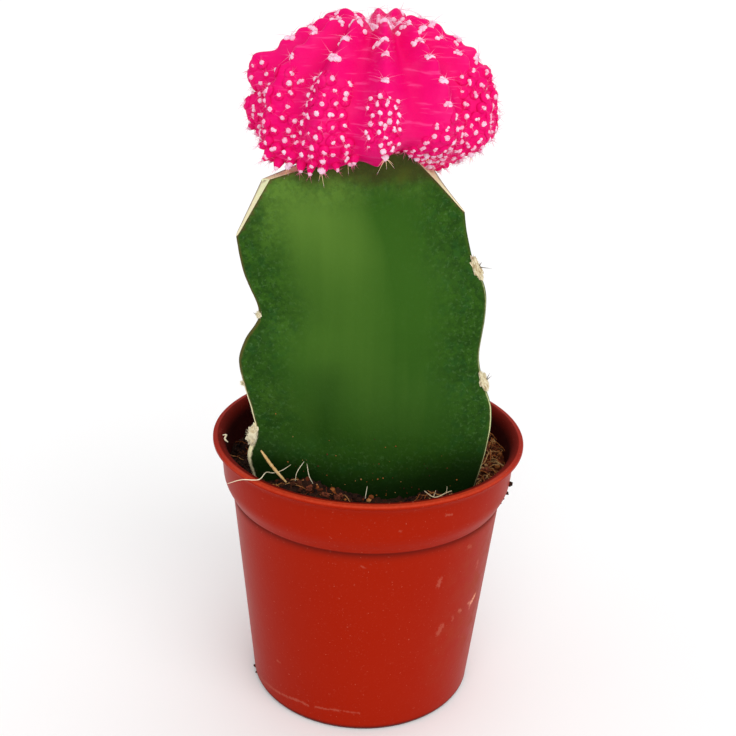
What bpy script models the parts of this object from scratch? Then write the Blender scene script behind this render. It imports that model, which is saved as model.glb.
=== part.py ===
"""A potted moon cactus: a pink scion grafted on a three-ribbed rootstock in a nursery pot.

Lengths are in millimetres until a mesh is made, and +Z is up. The origin is the centre of
the pot's foot ring, on the surface that the pot stands on. The plant's best face looks
along -Y.
"""

import math
import random

import bmesh
import bpy
from mathutils import Matrix, Vector

MM = 0.001
GAP = 0.3  # clearance between pieces that touch

# Pot
POT_HEIGHT = 49.4
LIP_RADIUS = 27.5
LIP_THICKNESS = 0.8
LIP_WIDTH = 1.2  # of its flat top
FLARE_HEIGHT = 2.6  # of the wall's outward curl under the lip
BAND_TOP_RADIUS = 26.0
BAND_FOOT_RADIUS = 24.7
BAND_FOOT_HEIGHT = 39.3
BODY_TOP_RADIUS = 23.9
BASE_RADIUS = 20.3
FOOT_WIDTH = 1.6
FOOT_DEPTH = 1.5
WALL = 0.9
POT_SEGMENTS = 48
DRAIN_HOLES = 6
DRAIN_RADIUS = 1.9
DRAIN_CIRCLE = 12.5

# Soil
SOIL_LEVEL = 44.0
SOIL_SEGMENTS = 40
SOIL_RINGS = (4.0, 8.5, 12.5, 16.0, 19.0, 21.6)
# Mounds and dips: centre x, centre y, height, spread
SOIL_MOUNDS = (
    (-11.0, -15.0, 2.2, 6.0),
    (20.0, 7.0, 1.5, 7.0),
    (4.0, -17.0, -0.9, 6.0),
    (-4.0, 19.0, 0.8, 6.0),
)

# Rootstock
STEM_AXIS = (-1.0, 0.0)
STEM_FOOT = 18.0
STEM_TOP = 104.0  # before the cuts
STEM_EDGE = 1.05  # half the thickness of a rib's margin
RIB_ANGLES = {"left": 210.0, "right": 330.0, "back": 90.0}
# Each rib's margin: height, reach from the stem's axis
RIB_MARGINS = {
    "left": (
        (18.0, 6.0), (26.0, 13.0), (36.0, 19.0), (46.0, 21.6), (49.5, 22.3), (53.5, 20.9),
        (57.3, 21.5), (66.5, 23.8), (70.2, 22.7), (74.2, 20.1), (81.5, 22.7), (88.0, 24.1),
        (104.0, 26.0),
    ),
    "right": (
        (18.0, 6.0), (26.0, 13.0), (36.0, 19.4), (43.7, 22.0), (52.0, 24.0), (60.0, 24.3),
        (65.0, 22.3), (68.5, 21.5), (76.0, 22.1), (80.5, 21.6), (85.5, 18.9), (92.6, 17.1),
        (104.0, 16.6),
    ),
    "back": (
        (18.0, 6.0), (26.0, 12.5), (36.0, 18.0), (45.0, 20.4), (54.0, 22.2), (59.0, 20.2),
        (67.0, 22.6), (73.0, 22.0), (78.5, 19.4), (86.0, 21.6), (92.0, 22.0), (104.0, 21.0),
    ),
}
STEM_STATIONS = 28
FRONT_FACE = 13.3  # from the stem's axis to the middle of the face
BACK_FACE = 9.6
FULL_REACH = 20.0  # the faces draw in where the ribs reach less than this
FRONT_LEAVE = 68.0  # angle at which a face leaves the rounded margin
BACK_LEAVE = 84.0
# Cuts of the grafting knife: a point on the cut and the outward normal
STEM_CUTS = {
    "graft": ((0.0, 0.0, 100.7), (-0.13, 0.07, 1.0)),
    "left_shoulder": ((-19.2, -12.7, 92.4), (-0.866, -0.169, 0.471)),
    "left_crown": ((-13.9, -13.1, 98.35), (-0.334, 0.110, 0.936)),
    "right_shoulder": ((10.1, -9.5, 96.15), (0.720, 0.010, 0.694)),
    "back_shoulder": ((-1.0, 15.0, 94.5), (0.0, 0.72, 0.69)),
}

# Scion
SCION_CENTRE = (-1.0, 0.0, 105.5)
SCION_LEAN = 2.0  # degrees that its axis leans towards +X
SCION_RADIUS = 19.6
SCION_UPPER = 14.2
SCION_LOWER = 8.8
SCION_RIBS = 12
FIRST_RIB = 5.0  # azimuth of the rib that looks forward, degrees from -Y towards +X
COLUMNS_PER_RIB = 6
SCION_ROWS = 18
GROOVE = 2.3
DIMPLE_DEPTH = 2.6
DIMPLE_SPREAD = 13.0  # degrees from the crown
CHINS = (18.0, 33.0, 50.0)  # degrees from the crown to each chin below an areole
CHIN_HEIGHT = 1.1
CHIN_SPREAD = 6.0
CROWN_TIP = 122.6  # top of the longest spine in the crown

# Offsets: where each rib's cluster starts, in degrees from the crown, from the front rib on
CLUSTER_STARTS = (68, 79, 64, 62, 64, 62, 66, 68, 64, 62, 61, 60)
CLUSTER_END = 126.0
CLUSTER_ROW = 8.0
CLUSTER_THICKNESS = 1.1
CLUSTER_HANG = 0.9

# Areoles of the rootstock: rib, height, reach of the pad's centre, half sizes, and spines
# as the lean off the rib's direction and the reach from the pad's centre
STEM_AREOLES = {
    "areole_left_upper": ("left", 74.2, 20.6, (0.7, 0.6, 0.8), (((0, 0, 0.5), 1.3),)),
    "areole_left_middle": ("left", 63.1, 23.3, (0.5, 0.45, 0.6), ()),
    "areole_left_lower": ("left", 53.3, 21.7, (1.1, 1.1, 1.9), (((0, 0, 0.9), 2.5),)),
    "areole_right_upper": (
        "right", 84.3, 20.3, (1.0, 0.9, 1.9), (((0, 0, 0.25), 2.9), ((0, 0, 1.2), 2.4)),
    ),
    "areole_right_lower": (
        "right", 65.1, 23.0, (0.9, 0.9, 1.8), (((0, 0, 0.4), 2.3), ((0, 0, 1.3), 2.4)),
    ),
    "areole_back_upper": ("back", 78.5, 20.2, (0.9, 0.9, 1.4), (((0.2, 0, 0.3), 2.5),)),
    "areole_back_lower": ("back", 59.2, 21.0, (1.0, 1.0, 1.6), (((-0.2, 0, 0.4), 2.4),)),
}

# Roots: heading in degrees, reach and depth of the tip below the crown of the roots
ROOTS = (
    (20, 11.0, 9.0), (75, 9.0, 11.5), (130, 12.0, 8.0), (185, 9.5, 11.0),
    (240, 12.0, 8.5), (290, 9.0, 11.5), (335, 12.0, 7.0),
)
ROOT_CROWN = (5.2, 2.2)  # radius and height
ROOT_RADIUS = 0.9

# Strands of litter: finish, radius, route
STRANDS = {
    "straw": (
        "straw", 0.32,
        ((-13.4, -15.9, 47.0), (-14.7, -15.4, 48.2), (-16.0, -14.9, 49.6), (-17.8, -14.0, 51.8)),
    ),
    "root_hair_over_rim": (
        "straw", 0.16,
        ((-22.9, -18.8, 47.9), (-20.3, -20.4, 49.6), (-17.5, -20.9, 50.0), (-16.5, -18.3, 50.0),
         (-16.5, -16.2, 48.7), (-15.6, -14.4, 47.5), (-14.2, -14.1, 48.1), (-12.8, -14.1, 49.4)),
    ),
    "root_hair_left": (
        "straw", 0.15, ((-12.0, -15.1, 46.9), (-11.7, -15.1, 48.5), (-10.6, -14.2, 50.1)),
    ),
    "root_hair_middle": (
        "straw", 0.15, ((-10.1, -14.2, 49.7), (-9.7, -14.9, 47.9), (-9.0, -15.5, 46.7)),
    ),
    "root_hair_front": ("straw", 0.15, ((0.1, -14.6, 46.1), (-0.2, -15.6, 44.2))),
    "rootlet_curl": (
        "straw", 0.18,
        ((-25.4, -4.6, 49.8), (-24.8, -4.35, 49.7), (-25.0, -4.9, 49.2), (-24.4, -5.3, 48.8)),
    ),
}
FORK_ROUTE = ((9.7, -14.7, 45.6), (11.5, -15.1, 44.7), (13.6, -14.3, 45.3), (14.4, -13.9, 45.4))
FORK_PRONG = ((13.4, -14.4, 45.2), (13.5, -14.3, 45.8), (13.5, -14.2, 46.4))

# Crumbs of bark: x, y, size
CRUMBS = (
    (-9.6, -16.4, 0.75), (-6.9, -17.4, 0.7), (-4.6, -16.6, 0.8), (-13.6, -17.6, 0.6),
    (20.8, -4.6, 0.9), (21.5, 2.4, 0.8), (19.6, 8.6, 0.8), (-9.8, 17.6, 0.9), (7.4, 18.9, 0.8),
)

COLOURS = {
    "pot_plastic": ((0.40, 0.016, 0.006), 0.35),
    "peat": ((0.045, 0.018, 0.010), 0.95),
    "stem_skin": ((0.055, 0.130, 0.022), 0.40),
    "scion_skin": ((0.95, 0.010, 0.150), 0.45),
    "offset_skin": ((0.95, 0.060, 0.240), 0.50),
    "areole_felt": ((0.70, 0.55, 0.32), 0.90),
    "crown_wool": ((0.95, 0.55, 0.72), 0.90),
    "straw": ((0.68, 0.42, 0.17), 0.70),
    "bark": ((0.20, 0.050, 0.022), 0.90),
    "root_bark": ((0.42, 0.28, 0.15), 0.85),
}


# ---- shared helpers


def material(name):
    """Return the plain material of that name, made once."""
    if name in bpy.data.materials:
        return bpy.data.materials[name]
    colour, roughness = COLOURS[name]
    made = bpy.data.materials.new(name)
    made.use_nodes = True
    shader = made.node_tree.nodes["Principled BSDF"]
    shader.inputs["Base Color"].default_value = (*colour, 1.0)
    shader.inputs["Roughness"].default_value = roughness
    shader.inputs["Metallic"].default_value = 0.0
    made.diffuse_color = (*colour, 1.0)
    return made


def add_object(name, mesh, finish):
    mesh.materials.append(material(finish))
    made = bpy.data.objects.new(name, mesh)
    bpy.context.collection.objects.link(made)
    return made


def mesh_from(name, bm, sharp_angle=40.0):
    """Turn a bmesh in millimetres into a smooth-shaded mesh in metres."""
    bmesh.ops.recalc_face_normals(bm, faces=bm.faces)
    if bm.calc_volume(signed=True) < 0:
        bmesh.ops.reverse_faces(bm, faces=bm.faces)
    bmesh.ops.scale(bm, vec=(MM, MM, MM), verts=bm.verts)
    mesh = bpy.data.meshes.new(name)
    bm.to_mesh(mesh)
    bm.free()
    mesh.shade_smooth()
    mesh.set_sharp_from_angle(angle=math.radians(sharp_angle))
    return mesh


def loft(rings):
    """Bridge rings of equal length into one closed skin. A ring of one point is a pole."""
    bm = bmesh.new()
    loops = [[bm.verts.new(point) for point in ring] for ring in rings]
    for lower, upper in zip(loops, loops[1:]):
        count = max(len(lower), len(upper))
        for i in range(count):
            j = (i + 1) % count
            if len(lower) == 1:
                bm.faces.new((lower[0], upper[j], upper[i]))
            elif len(upper) == 1:
                bm.faces.new((lower[i], lower[j], upper[0]))
            else:
                bm.faces.new((lower[i], lower[j], upper[j], upper[i]))
    for ring in (loops[0], loops[-1]):
        if len(ring) > 1:
            bm.faces.new(ring)
    return bm


def circle(radius, z, count):
    """A level ring round the Z axis, or one point where the radius is 0."""
    if radius == 0:
        return [Vector((0, 0, z))]
    turns = [2 * math.pi * i / count for i in range(count)]
    return [Vector((radius * math.cos(a), radius * math.sin(a), z)) for a in turns]


def boolean(target, cutter, operation):
    """Apply a Boolean of the cutter to the target."""
    modifier = target.modifiers.new("boolean", "BOOLEAN")
    modifier.operation = operation
    modifier.solver = "EXACT"
    modifier.object = cutter
    graph = bpy.context.evaluated_depsgraph_get()
    result = bpy.data.meshes.new_from_object(target.evaluated_get(graph))
    target.modifiers.clear()
    target.data = result


def smooth_through(points, at):
    """Read a smooth curve through (position, value) points."""
    if at <= points[0][0]:
        return points[0][1]
    for i in range(len(points) - 1):
        (x1, y1), (x2, y2) = points[i], points[i + 1]
        if at > x2:
            continue
        x0, y0 = points[max(i - 1, 0)]
        x3, y3 = points[min(i + 2, len(points) - 1)]
        width = x2 - x1
        start = (y2 - y0) / (x2 - x0) * width
        end = (y3 - y1) / (x3 - x1) * width
        t = (at - x1) / width
        return (
            (2 * t**3 - 3 * t**2 + 1) * y1
            + (t**3 - 2 * t**2 + t) * start
            + (3 * t**2 - 2 * t**3) * y2
            + (t**3 - t**2) * end
        )
    return points[-1][1]


def bump(distance, spread):
    return math.exp(-((distance / spread) ** 2))


# ---- pot and soil


def flare(start, end, inset):
    """Points of a quarter curl that leaves the wall upright and ends level at the lip."""
    (r1, z1), (r2, z2) = start, end
    turns = [math.radians(a) for a in (30, 60)]
    curl = [(r1 + (r2 - r1) * (1 - math.cos(a)), z1 + (z2 - z1) * math.sin(a)) for a in turns]
    return [start] + curl + [(r2 - inset, z2)]


def pot_profile():
    """Half section of the pot, from the middle of its underside out, up, over and down."""
    lip_under = POT_HEIGHT - LIP_THICKNESS
    flare_foot = POT_HEIGHT - FLARE_HEIGHT
    ledge = BAND_FOOT_HEIGHT - 0.6
    outer_flare = flare((BAND_TOP_RADIUS, flare_foot), (LIP_RADIUS, lip_under), 0.3)
    inner_lip = (LIP_RADIUS - LIP_WIDTH, POT_HEIGHT)
    inner_flare = flare((BAND_TOP_RADIUS - WALL, flare_foot), inner_lip, 0)
    return [
        (0.0, FOOT_DEPTH),
        (BASE_RADIUS - FOOT_WIDTH - 0.4, FOOT_DEPTH),
        (BASE_RADIUS - FOOT_WIDTH, 0.0),
        (BASE_RADIUS - 0.4, 0.0),
        (BASE_RADIUS, 0.4),
        (BODY_TOP_RADIUS, ledge),
        (BAND_FOOT_RADIUS, BAND_FOOT_HEIGHT),
        *outer_flare,
        (LIP_RADIUS, lip_under + 0.2),
        (LIP_RADIUS, POT_HEIGHT - 0.25),
        (LIP_RADIUS - 0.25, POT_HEIGHT),
        *inner_flare[::-1],
        (BAND_FOOT_RADIUS - WALL, BAND_FOOT_HEIGHT + 0.3),
        (BODY_TOP_RADIUS - WALL, ledge - 0.3),
        (BASE_RADIUS - WALL, FOOT_DEPTH + WALL),
        (0.0, FOOT_DEPTH + WALL),
    ]


def nursery_pot():
    """The turned pot, with its drain holes cut."""
    bm = loft([circle(r, z, POT_SEGMENTS) for r, z in pot_profile()])
    pot = add_object("nursery_pot", mesh_from("nursery_pot", bm, 30.0), "pot_plastic")
    for i in range(DRAIN_HOLES):
        angle = 2 * math.pi * (i / DRAIN_HOLES + 0.3 / POT_SEGMENTS)
        centre = Vector((math.cos(angle), math.sin(angle), 0)) * DRAIN_CIRCLE
        rings = [[p + centre for p in circle(DRAIN_RADIUS, z, 10)] for z in (-1.0, 5.0)]
        cutter = add_object("drain", mesh_from("drain", loft(rings)), "pot_plastic")
        boolean(pot, cutter, "DIFFERENCE")
        bpy.data.objects.remove(cutter)
    return pot


def inner_wall(z):
    """Inner radius of the pot at a height."""
    upper = (BAND_FOOT_RADIUS - WALL, BAND_FOOT_HEIGHT + 0.3)
    lower = (BODY_TOP_RADIUS - WALL, BAND_FOOT_HEIGHT - 0.9)
    base = (BASE_RADIUS - WALL, FOOT_DEPTH + WALL)
    rim = (BAND_TOP_RADIUS - WALL, POT_HEIGHT - FLARE_HEIGHT)
    steps = (base, lower, upper, rim)
    for (r1, z1), (r2, z2) in zip(steps, steps[1:]):
        if z <= z2:
            return r1 + (r2 - r1) * (z - z1) / (z2 - z1)
    return rim[0]


def soil_height(x, y):
    mounds = sum(h * bump(math.hypot(x - cx, y - cy), s) for cx, cy, h, s in SOIL_MOUNDS)
    ripple = 0.22 * math.sin(0.9 * x + 1.3) * math.cos(0.8 * y)
    return SOIL_LEVEL + mounds + ripple


def potting_soil(stem_cutter, root_cutter):
    """Peat that fills the pot, with the sockets that the stem and the roots grew in."""
    floor = FOOT_DEPTH + WALL + GAP
    walls = (floor, BAND_FOOT_HEIGHT - 0.9, BAND_FOOT_HEIGHT + 0.3 + GAP)
    rings = [circle(0, floor, 1)]
    rings += [circle(inner_wall(z) - GAP, z, SOIL_SEGMENTS) for z in walls]
    edge = circle(inner_wall(SOIL_LEVEL) - GAP, 0, SOIL_SEGMENTS)
    rings.append([Vector((p.x, p.y, soil_height(p.x, p.y) - 0.5)) for p in edge])
    for radius in reversed(SOIL_RINGS):
        ring = circle(radius, 0, SOIL_SEGMENTS)
        rings.append([Vector((p.x, p.y, soil_height(p.x, p.y))) for p in ring])
    rings.append([Vector((0, 0, soil_height(0, 0)))])
    soil = add_object("potting_soil", mesh_from("potting_soil", loft(rings)), "peat")
    boolean(soil, stem_cutter, "DIFFERENCE")
    boolean(soil, root_cutter, "DIFFERENCE")
    return soil


# ---- rootstock


def face_points(start, end, middle, leave, edge):
    """One face of the stem's section, from the middle of one margin almost to the next.

    start and end are the margins as (direction, reach), and middle is the face's middle
    point. A face leaves its rounded margin at the given angle.
    """

    def corner(margin, other):
        direction, reach = margin
        side = (other[0] - direction * direction.dot(other[0])).normalized()
        centre = direction * (reach - edge)
        turns = [math.radians(leave * k / 2) for k in range(3)]
        arc = [centre + (direction * math.cos(a) + side * math.sin(a)) * edge for a in turns]
        tangent = side * math.cos(turns[-1]) - direction * math.sin(turns[-1])
        return arc, tangent

    first, first_tangent = corner(start, end)
    last, last_tangent = corner(end, start)
    across = (last[-1] - first[-1]).normalized()

    def flank(a, tangent, sign):
        pull = (middle - a).length
        p1 = a + tangent * pull * 0.38
        p2 = middle - across * sign * pull * 0.45
        points = []
        for t in (0.3, 0.65):
            points.append(
                a * (1 - t) ** 3 + p1 * 3 * t * (1 - t) ** 2 + p2 * 3 * t**2 * (1 - t) + middle * t**3
            )
        return points

    left = flank(first[-1], first_tangent, 1)
    right = flank(last[-1], last_tangent, -1)
    return first + left + [middle] + right[::-1] + last[:0:-1]


def stem_section(z, grow):
    """The stem's outline at a height, widened by grow on every side."""
    names = ("left", "right", "back")
    reaches = {name: smooth_through(RIB_MARGINS[name], z) for name in names}
    fullness = min(1.0, sum(reaches.values()) / 3 / FULL_REACH)
    axis = Vector((*STEM_AXIS, 0))
    outline = []
    for name, following in zip(names, names[1:] + names[:1]):
        margins = []
        for rib in (name, following):
            angle = math.radians(RIB_ANGLES[rib])
            direction = Vector((math.cos(angle), math.sin(angle), 0))
            margins.append((direction, reaches[rib] + grow))
        front = name == "left"
        depth = (FRONT_FACE if front else BACK_FACE) * fullness + grow
        middle = (margins[0][0] + margins[1][0]).normalized() * depth
        leave = FRONT_LEAVE if front else BACK_LEAVE
        outline += face_points(*margins, middle, leave, STEM_EDGE + grow)
    return [axis + p + Vector((0, 0, z)) for p in outline]


def stem_solid(name, grow=0.0):
    """The whole stem with its knife cuts, widened by grow on every side."""
    rise = (STEM_TOP - STEM_FOOT) / STEM_STATIONS
    heights = [STEM_FOOT + rise * i for i in range(STEM_STATIONS + 1)]
    heights[0] -= grow
    bm = loft([stem_section(z, grow) for z in heights])
    for point, normal in STEM_CUTS.values():
        outward = Vector(normal).normalized()
        everything = bm.verts[:] + bm.edges[:] + bm.faces[:]
        bmesh.ops.bisect_plane(
            bm,
            geom=everything,
            dist=1e-5,
            plane_co=Vector(point) + outward * grow,
            plane_no=outward,
            clear_outer=True,
        )
        rim = [edge for edge in bm.edges if edge.is_boundary]
        bmesh.ops.contextual_create(bm, geom=rim)
    bmesh.ops.triangulate(bm, faces=[face for face in bm.faces if len(face.verts) > 4])
    return add_object(name, mesh_from(name, bm, 35.0), "stem_skin")


def felt_pad(name, centre, size, spines, finish="areole_felt"):
    """A lumpy pad of felt, its spines drawn out of its own skin to a reach from its centre."""
    bm = bmesh.new()
    bmesh.ops.create_icosphere(bm, subdivisions=2, radius=1.0)
    chance = random.Random(name)
    for vert in bm.verts:
        lump = chance.uniform(0.86, 1.08)
        vert.co = Vector(c * s * lump for c, s in zip(vert.co, size))
    bm.faces.ensure_lookup_table()
    for direction, reach in spines:
        heading = Vector(direction).normalized()
        face = max(bm.faces, key=lambda f: f.calc_center_median().normalized().dot(heading))
        poked = bmesh.ops.poke(bm, faces=[face])
        poked["verts"][0].co = heading * reach
    for vert in bm.verts:
        vert.co += Vector(centre)
    return add_object(name, mesh_from(name, bm), finish)


# ---- roots


def root_system(grow=0.0):
    """The crown of the roots under the stem's foot, and the roots that fan out from it."""
    radius, height = ROOT_CROWN
    top = STEM_FOOT - GAP + grow
    x, y = STEM_AXIS
    profile = ((0, top), (radius + grow, top), (radius + grow, top - height * 0.6 - grow),
               (radius * 0.5, top - height - 2 * grow), (0, top - height - 2 * grow))
    rings = [[p + Vector((x, y, 0)) for p in circle(r, z, 12)] for r, z in profile]
    roots = add_object("root_system", mesh_from("root_system", loft(rings)), "root_bark")
    for heading, reach, depth in ROOTS:
        angle = math.radians(heading)
        out = Vector((math.cos(angle), math.sin(angle), 0))
        start = Vector((x, y, STEM_FOOT - GAP - height * 0.5)) + out * radius * 0.45
        route = [start]
        for step in (0.3, 0.6, 0.85, 1.0):
            wander = Vector((-out.y, out.x, 0)) * 0.8 * math.sin(step * 5 + heading)
            route.append(start + out * reach * step + wander - Vector((0, 0, depth * step**1.6)))
        sizes = [ROOT_RADIUS * s + grow for s in (1.0, 0.85, 0.65, 0.45, 0.25)]
        root = tube("root", route, sizes, "root_bark")
        boolean(roots, root, "UNION")
        bpy.data.objects.remove(root)
    return roots


def tube(name, route, radii, finish, sides=6):
    """A closed tube along a route, with its own radius at each point."""
    rings = []
    for i, point in enumerate(route):
        ahead = route[min(i + 1, len(route) - 1)] - route[max(i - 1, 0)]
        turn = Vector((0, 0, 1)).rotation_difference(ahead.normalized())
        flat = circle(radii[i], 0, sides)
        rings.append([point + turn @ p for p in flat])
    return add_object(name, mesh_from(name, loft(rings)), finish)


# ---- scion


def scion_point(azimuth, polar):
    """A point of the scion's skin. azimuth is from -Y towards +X, polar from the crown."""
    phase = math.radians(azimuth - FIRST_RIB) * SCION_RIBS / 2
    groove = abs(math.sin(phase)) ** 1.7
    t = math.radians(polar)
    depth = GROOVE * groove * math.sin(min(t * 1.15, math.pi / 2))
    crest = (1 - groove) ** 2
    for chin in CHINS:
        depth -= CHIN_HEIGHT * crest * bump(polar - chin, CHIN_SPREAD)
    height = SCION_UPPER if polar < 90 else SCION_LOWER
    outward = Vector((math.sin(t), 0, math.cos(t)))
    along = Vector((SCION_RADIUS * math.sin(t), 0, height * math.cos(t))) - outward * depth
    along.z -= DIMPLE_DEPTH * bump(polar, DIMPLE_SPREAD)
    a = math.radians(azimuth)
    upright = Vector((math.sin(a) * along.x, -math.cos(a) * along.x, along.z))
    return Vector(SCION_CENTRE) + Matrix.Rotation(math.radians(SCION_LEAN), 3, "Y") @ upright


def scion_normal(azimuth, polar):
    step = 0.5
    across = scion_point(azimuth + step, polar) - scion_point(azimuth - step, polar)
    down = scion_point(azimuth, polar + step) - scion_point(azimuth, polar - step)
    return down.cross(across).normalized()


def scion(stem_cutter):
    """The pink globe, seated on the graft."""
    columns = SCION_RIBS * COLUMNS_PER_RIB
    rings = []
    for row in range(1, SCION_ROWS):
        polar = 180 * row / SCION_ROWS
        rings.append([scion_point(FIRST_RIB + 360 * c / columns, polar) for c in range(columns)])
    poles = [[scion_point(0, 0.001)], [scion_point(0, 180)]]
    bm = loft([poles[0]] + rings + [poles[1]])
    globe = add_object("scion", mesh_from("scion", bm, 60.0), "scion_skin")
    boolean(globe, stem_cutter, "DIFFERENCE")
    return globe


def offset_cluster(number, start, stem_cutter):
    """A rib's cluster of offsets: a knobbly strip that hugs the lower half of the rib."""
    middle = FIRST_RIB + 360 / SCION_RIBS * number
    step = 360 / SCION_RIBS / COLUMNS_PER_RIB
    columns = [middle + step * c for c in (-2, -1, 0, 1, 2)]
    rows = []
    polar = CLUSTER_END
    while polar > start:
        rows.append(polar)
        polar -= CLUSTER_ROW
    chance = random.Random(number)
    skins = {"inner": [], "outer": []}
    for r, polar in enumerate(rows):
        inner, outer = [], []
        for c, azimuth in enumerate(columns):
            normal = scion_normal(azimuth, polar)
            inside = scion_point(azimuth, polar) + normal * GAP * 1.6
            border = r in (0, len(rows) - 1) or c in (0, 4)
            thick = CLUSTER_THICKNESS * (0.45 if border else chance.uniform(0.85, 1.35))
            thick += CLUSTER_HANG * bump(polar - CLUSTER_END, 9.0) * (0.3 if border else 1.0)
            inner.append(inside)
            outer.append(inside + normal * thick)
        skins["inner"].append(inner)
        skins["outer"].append(outer)
    bm = bmesh.new()
    grids = {
        side: [[bm.verts.new(p) for p in row] for row in skin] for side, skin in skins.items()
    }
    for grid in grids.values():
        for low, high in zip(grid, grid[1:]):
            for c in range(4):
                bm.faces.new((low[c], low[c + 1], high[c + 1], high[c]))
    edges = {}
    for side, grid in grids.items():
        right = [row[4] for row in grid[1:-1]]
        left = [row[0] for row in grid[1:-1]]
        edges[side] = grid[0] + right + grid[-1][::-1] + left[::-1]
    for i, vert in enumerate(edges["inner"]):
        j = (i + 1) % len(edges["inner"])
        bm.faces.new((vert, edges["inner"][j], edges["outer"][j], edges["outer"][i]))
    name = f"offset_cluster_{number + 1:02d}"
    cluster = add_object(name, mesh_from(name, bm, 80.0), "offset_skin")
    boolean(cluster, stem_cutter, "DIFFERENCE")
    return cluster


def crown_wool():
    """Wool and the youngest spines in the dimple at the top of the scion."""
    x, y, base = scion_point(0, 0.001)
    size = (1.9, 1.9, 1.3)
    centre = (x, y, base + GAP * 1.5 + size[2])
    spines = [((0.5 * math.cos(a), 0.5 * math.sin(a), 1), 2.6) for a in (0.4, 2.5, 4.6)]
    spines.append(((0, 0, 1), CROWN_TIP - centre[2]))
    return felt_pad("crown_wool", centre, size, spines, "crown_wool")


# ---- litter


def litter_crumb(number, x, y, size):
    """A crumb of bark: the hull of a few scattered points, lying on the soil."""
    chance = random.Random(100 + number)
    bm = bmesh.new()
    for _ in range(9):
        spot = Vector(chance.gauss(0, 1) for _ in range(3)).normalized()
        bm.verts.new(Vector((spot.x, spot.y * 0.75, spot.z * 0.6)) * size)
    hull = bmesh.ops.convex_hull(bm, input=bm.verts)
    bmesh.ops.delete(bm, geom=list(set(hull["geom_interior"])), context="VERTS")
    lowest = min(v.co.z for v in bm.verts)
    ground = max(soil_height(x + v.co.x, y + v.co.y) for v in bm.verts)
    for vert in bm.verts:
        vert.co += Vector((x, y, ground + GAP - lowest))
    name = f"bark_crumb_{number}"
    return add_object(name, mesh_from(name, bm, 10.0), "bark")


def fork(name, route, radii, prong, finish):
    """A rootlet with one prong that branches from it."""
    stem = tube(name, route, radii, finish, 5)
    branch = tube("prong", prong, radii[: len(prong)], finish, 5)
    boolean(stem, branch, "UNION")
    bpy.data.objects.remove(branch)
    return stem


def main():
    for old in list(bpy.data.objects):
        bpy.data.objects.remove(old)
    stem_cutter = stem_solid("stem_clearance", GAP)
    root_cutter = root_system(GAP)
    root_cutter.name = "root_clearance"
    nursery_pot()
    potting_soil(stem_cutter, root_cutter)
    root_system()
    stem_solid("rootstock")
    for name, (rib, height, reach, size, spines) in STEM_AREOLES.items():
        angle = math.radians(RIB_ANGLES[rib])
        out = Vector((math.cos(angle), math.sin(angle), 0))
        centre = Vector((*STEM_AXIS, height)) + out * reach
        headings = [(out + Vector(lean), length) for lean, length in spines]
        pad = felt_pad(name, centre, size, headings)
        boolean(pad, stem_cutter, "DIFFERENCE")
    scion(stem_cutter)
    for number, start in enumerate(CLUSTER_STARTS):
        offset_cluster(number, start, stem_cutter)
    crown_wool()
    for name, (finish, radius, points) in STRANDS.items():
        route = [Vector(p) for p in points]
        places = [2 * i / (len(route) - 1) - 1 for i in range(len(route))]
        taper = [radius * (1 - 0.45 * place**2) for place in places]
        tube(name, route, taper, finish, 5)
    fork("rootlet_fork", [Vector(p) for p in FORK_ROUTE], (0.16, 0.22, 0.22, 0.16),
         [Vector(p) for p in FORK_PRONG], "straw")
    for number, spot in enumerate(CRUMBS, 1):
        litter_crumb(number, *spot)
    for cutter in (stem_cutter, root_cutter):
        bpy.data.objects.remove(cutter)


main()
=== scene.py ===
# A potted moon cactus: a pink scion grafted on a three-ribbed rootstock, in a pot of peat.
# Shapes are worked out in millimetres, with the origin under the middle of the pot, and
# each mesh is made in metres. The plant's best face looks along -Y.
import math
import random
from functools import cache, reduce

import bmesh
import bpy
import numpy as np
from mathutils import Matrix, Vector, noise
from mathutils.geometry import delaunay_2d_cdt


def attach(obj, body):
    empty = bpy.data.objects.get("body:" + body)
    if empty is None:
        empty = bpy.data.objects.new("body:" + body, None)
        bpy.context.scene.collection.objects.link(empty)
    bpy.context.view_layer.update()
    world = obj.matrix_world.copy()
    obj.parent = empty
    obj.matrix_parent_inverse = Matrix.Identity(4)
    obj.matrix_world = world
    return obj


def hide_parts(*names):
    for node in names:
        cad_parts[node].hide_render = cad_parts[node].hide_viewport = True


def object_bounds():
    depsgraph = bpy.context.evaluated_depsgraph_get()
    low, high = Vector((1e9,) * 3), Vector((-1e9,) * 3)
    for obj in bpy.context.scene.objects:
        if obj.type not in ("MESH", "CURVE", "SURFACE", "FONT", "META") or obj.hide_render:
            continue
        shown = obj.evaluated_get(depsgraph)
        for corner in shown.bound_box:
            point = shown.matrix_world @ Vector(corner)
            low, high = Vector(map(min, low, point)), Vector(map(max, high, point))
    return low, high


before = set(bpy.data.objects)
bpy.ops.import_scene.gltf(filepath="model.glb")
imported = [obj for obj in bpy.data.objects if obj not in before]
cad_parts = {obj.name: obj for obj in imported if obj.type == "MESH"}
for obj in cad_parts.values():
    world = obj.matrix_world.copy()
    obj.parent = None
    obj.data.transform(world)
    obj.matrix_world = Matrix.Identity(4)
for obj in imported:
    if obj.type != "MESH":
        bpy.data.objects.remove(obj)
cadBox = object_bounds()
mm = 0.001
print("frame loaded,", len(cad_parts), "nodes")


def maths(operation, flipped=False):  # an operator that adds its Math node
    def apply(self, other):
        terms = (other, self) if flipped else (self, other)
        return self.finish.node("ShaderNodeMath", {"operation": operation}, terms)
    return apply


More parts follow.
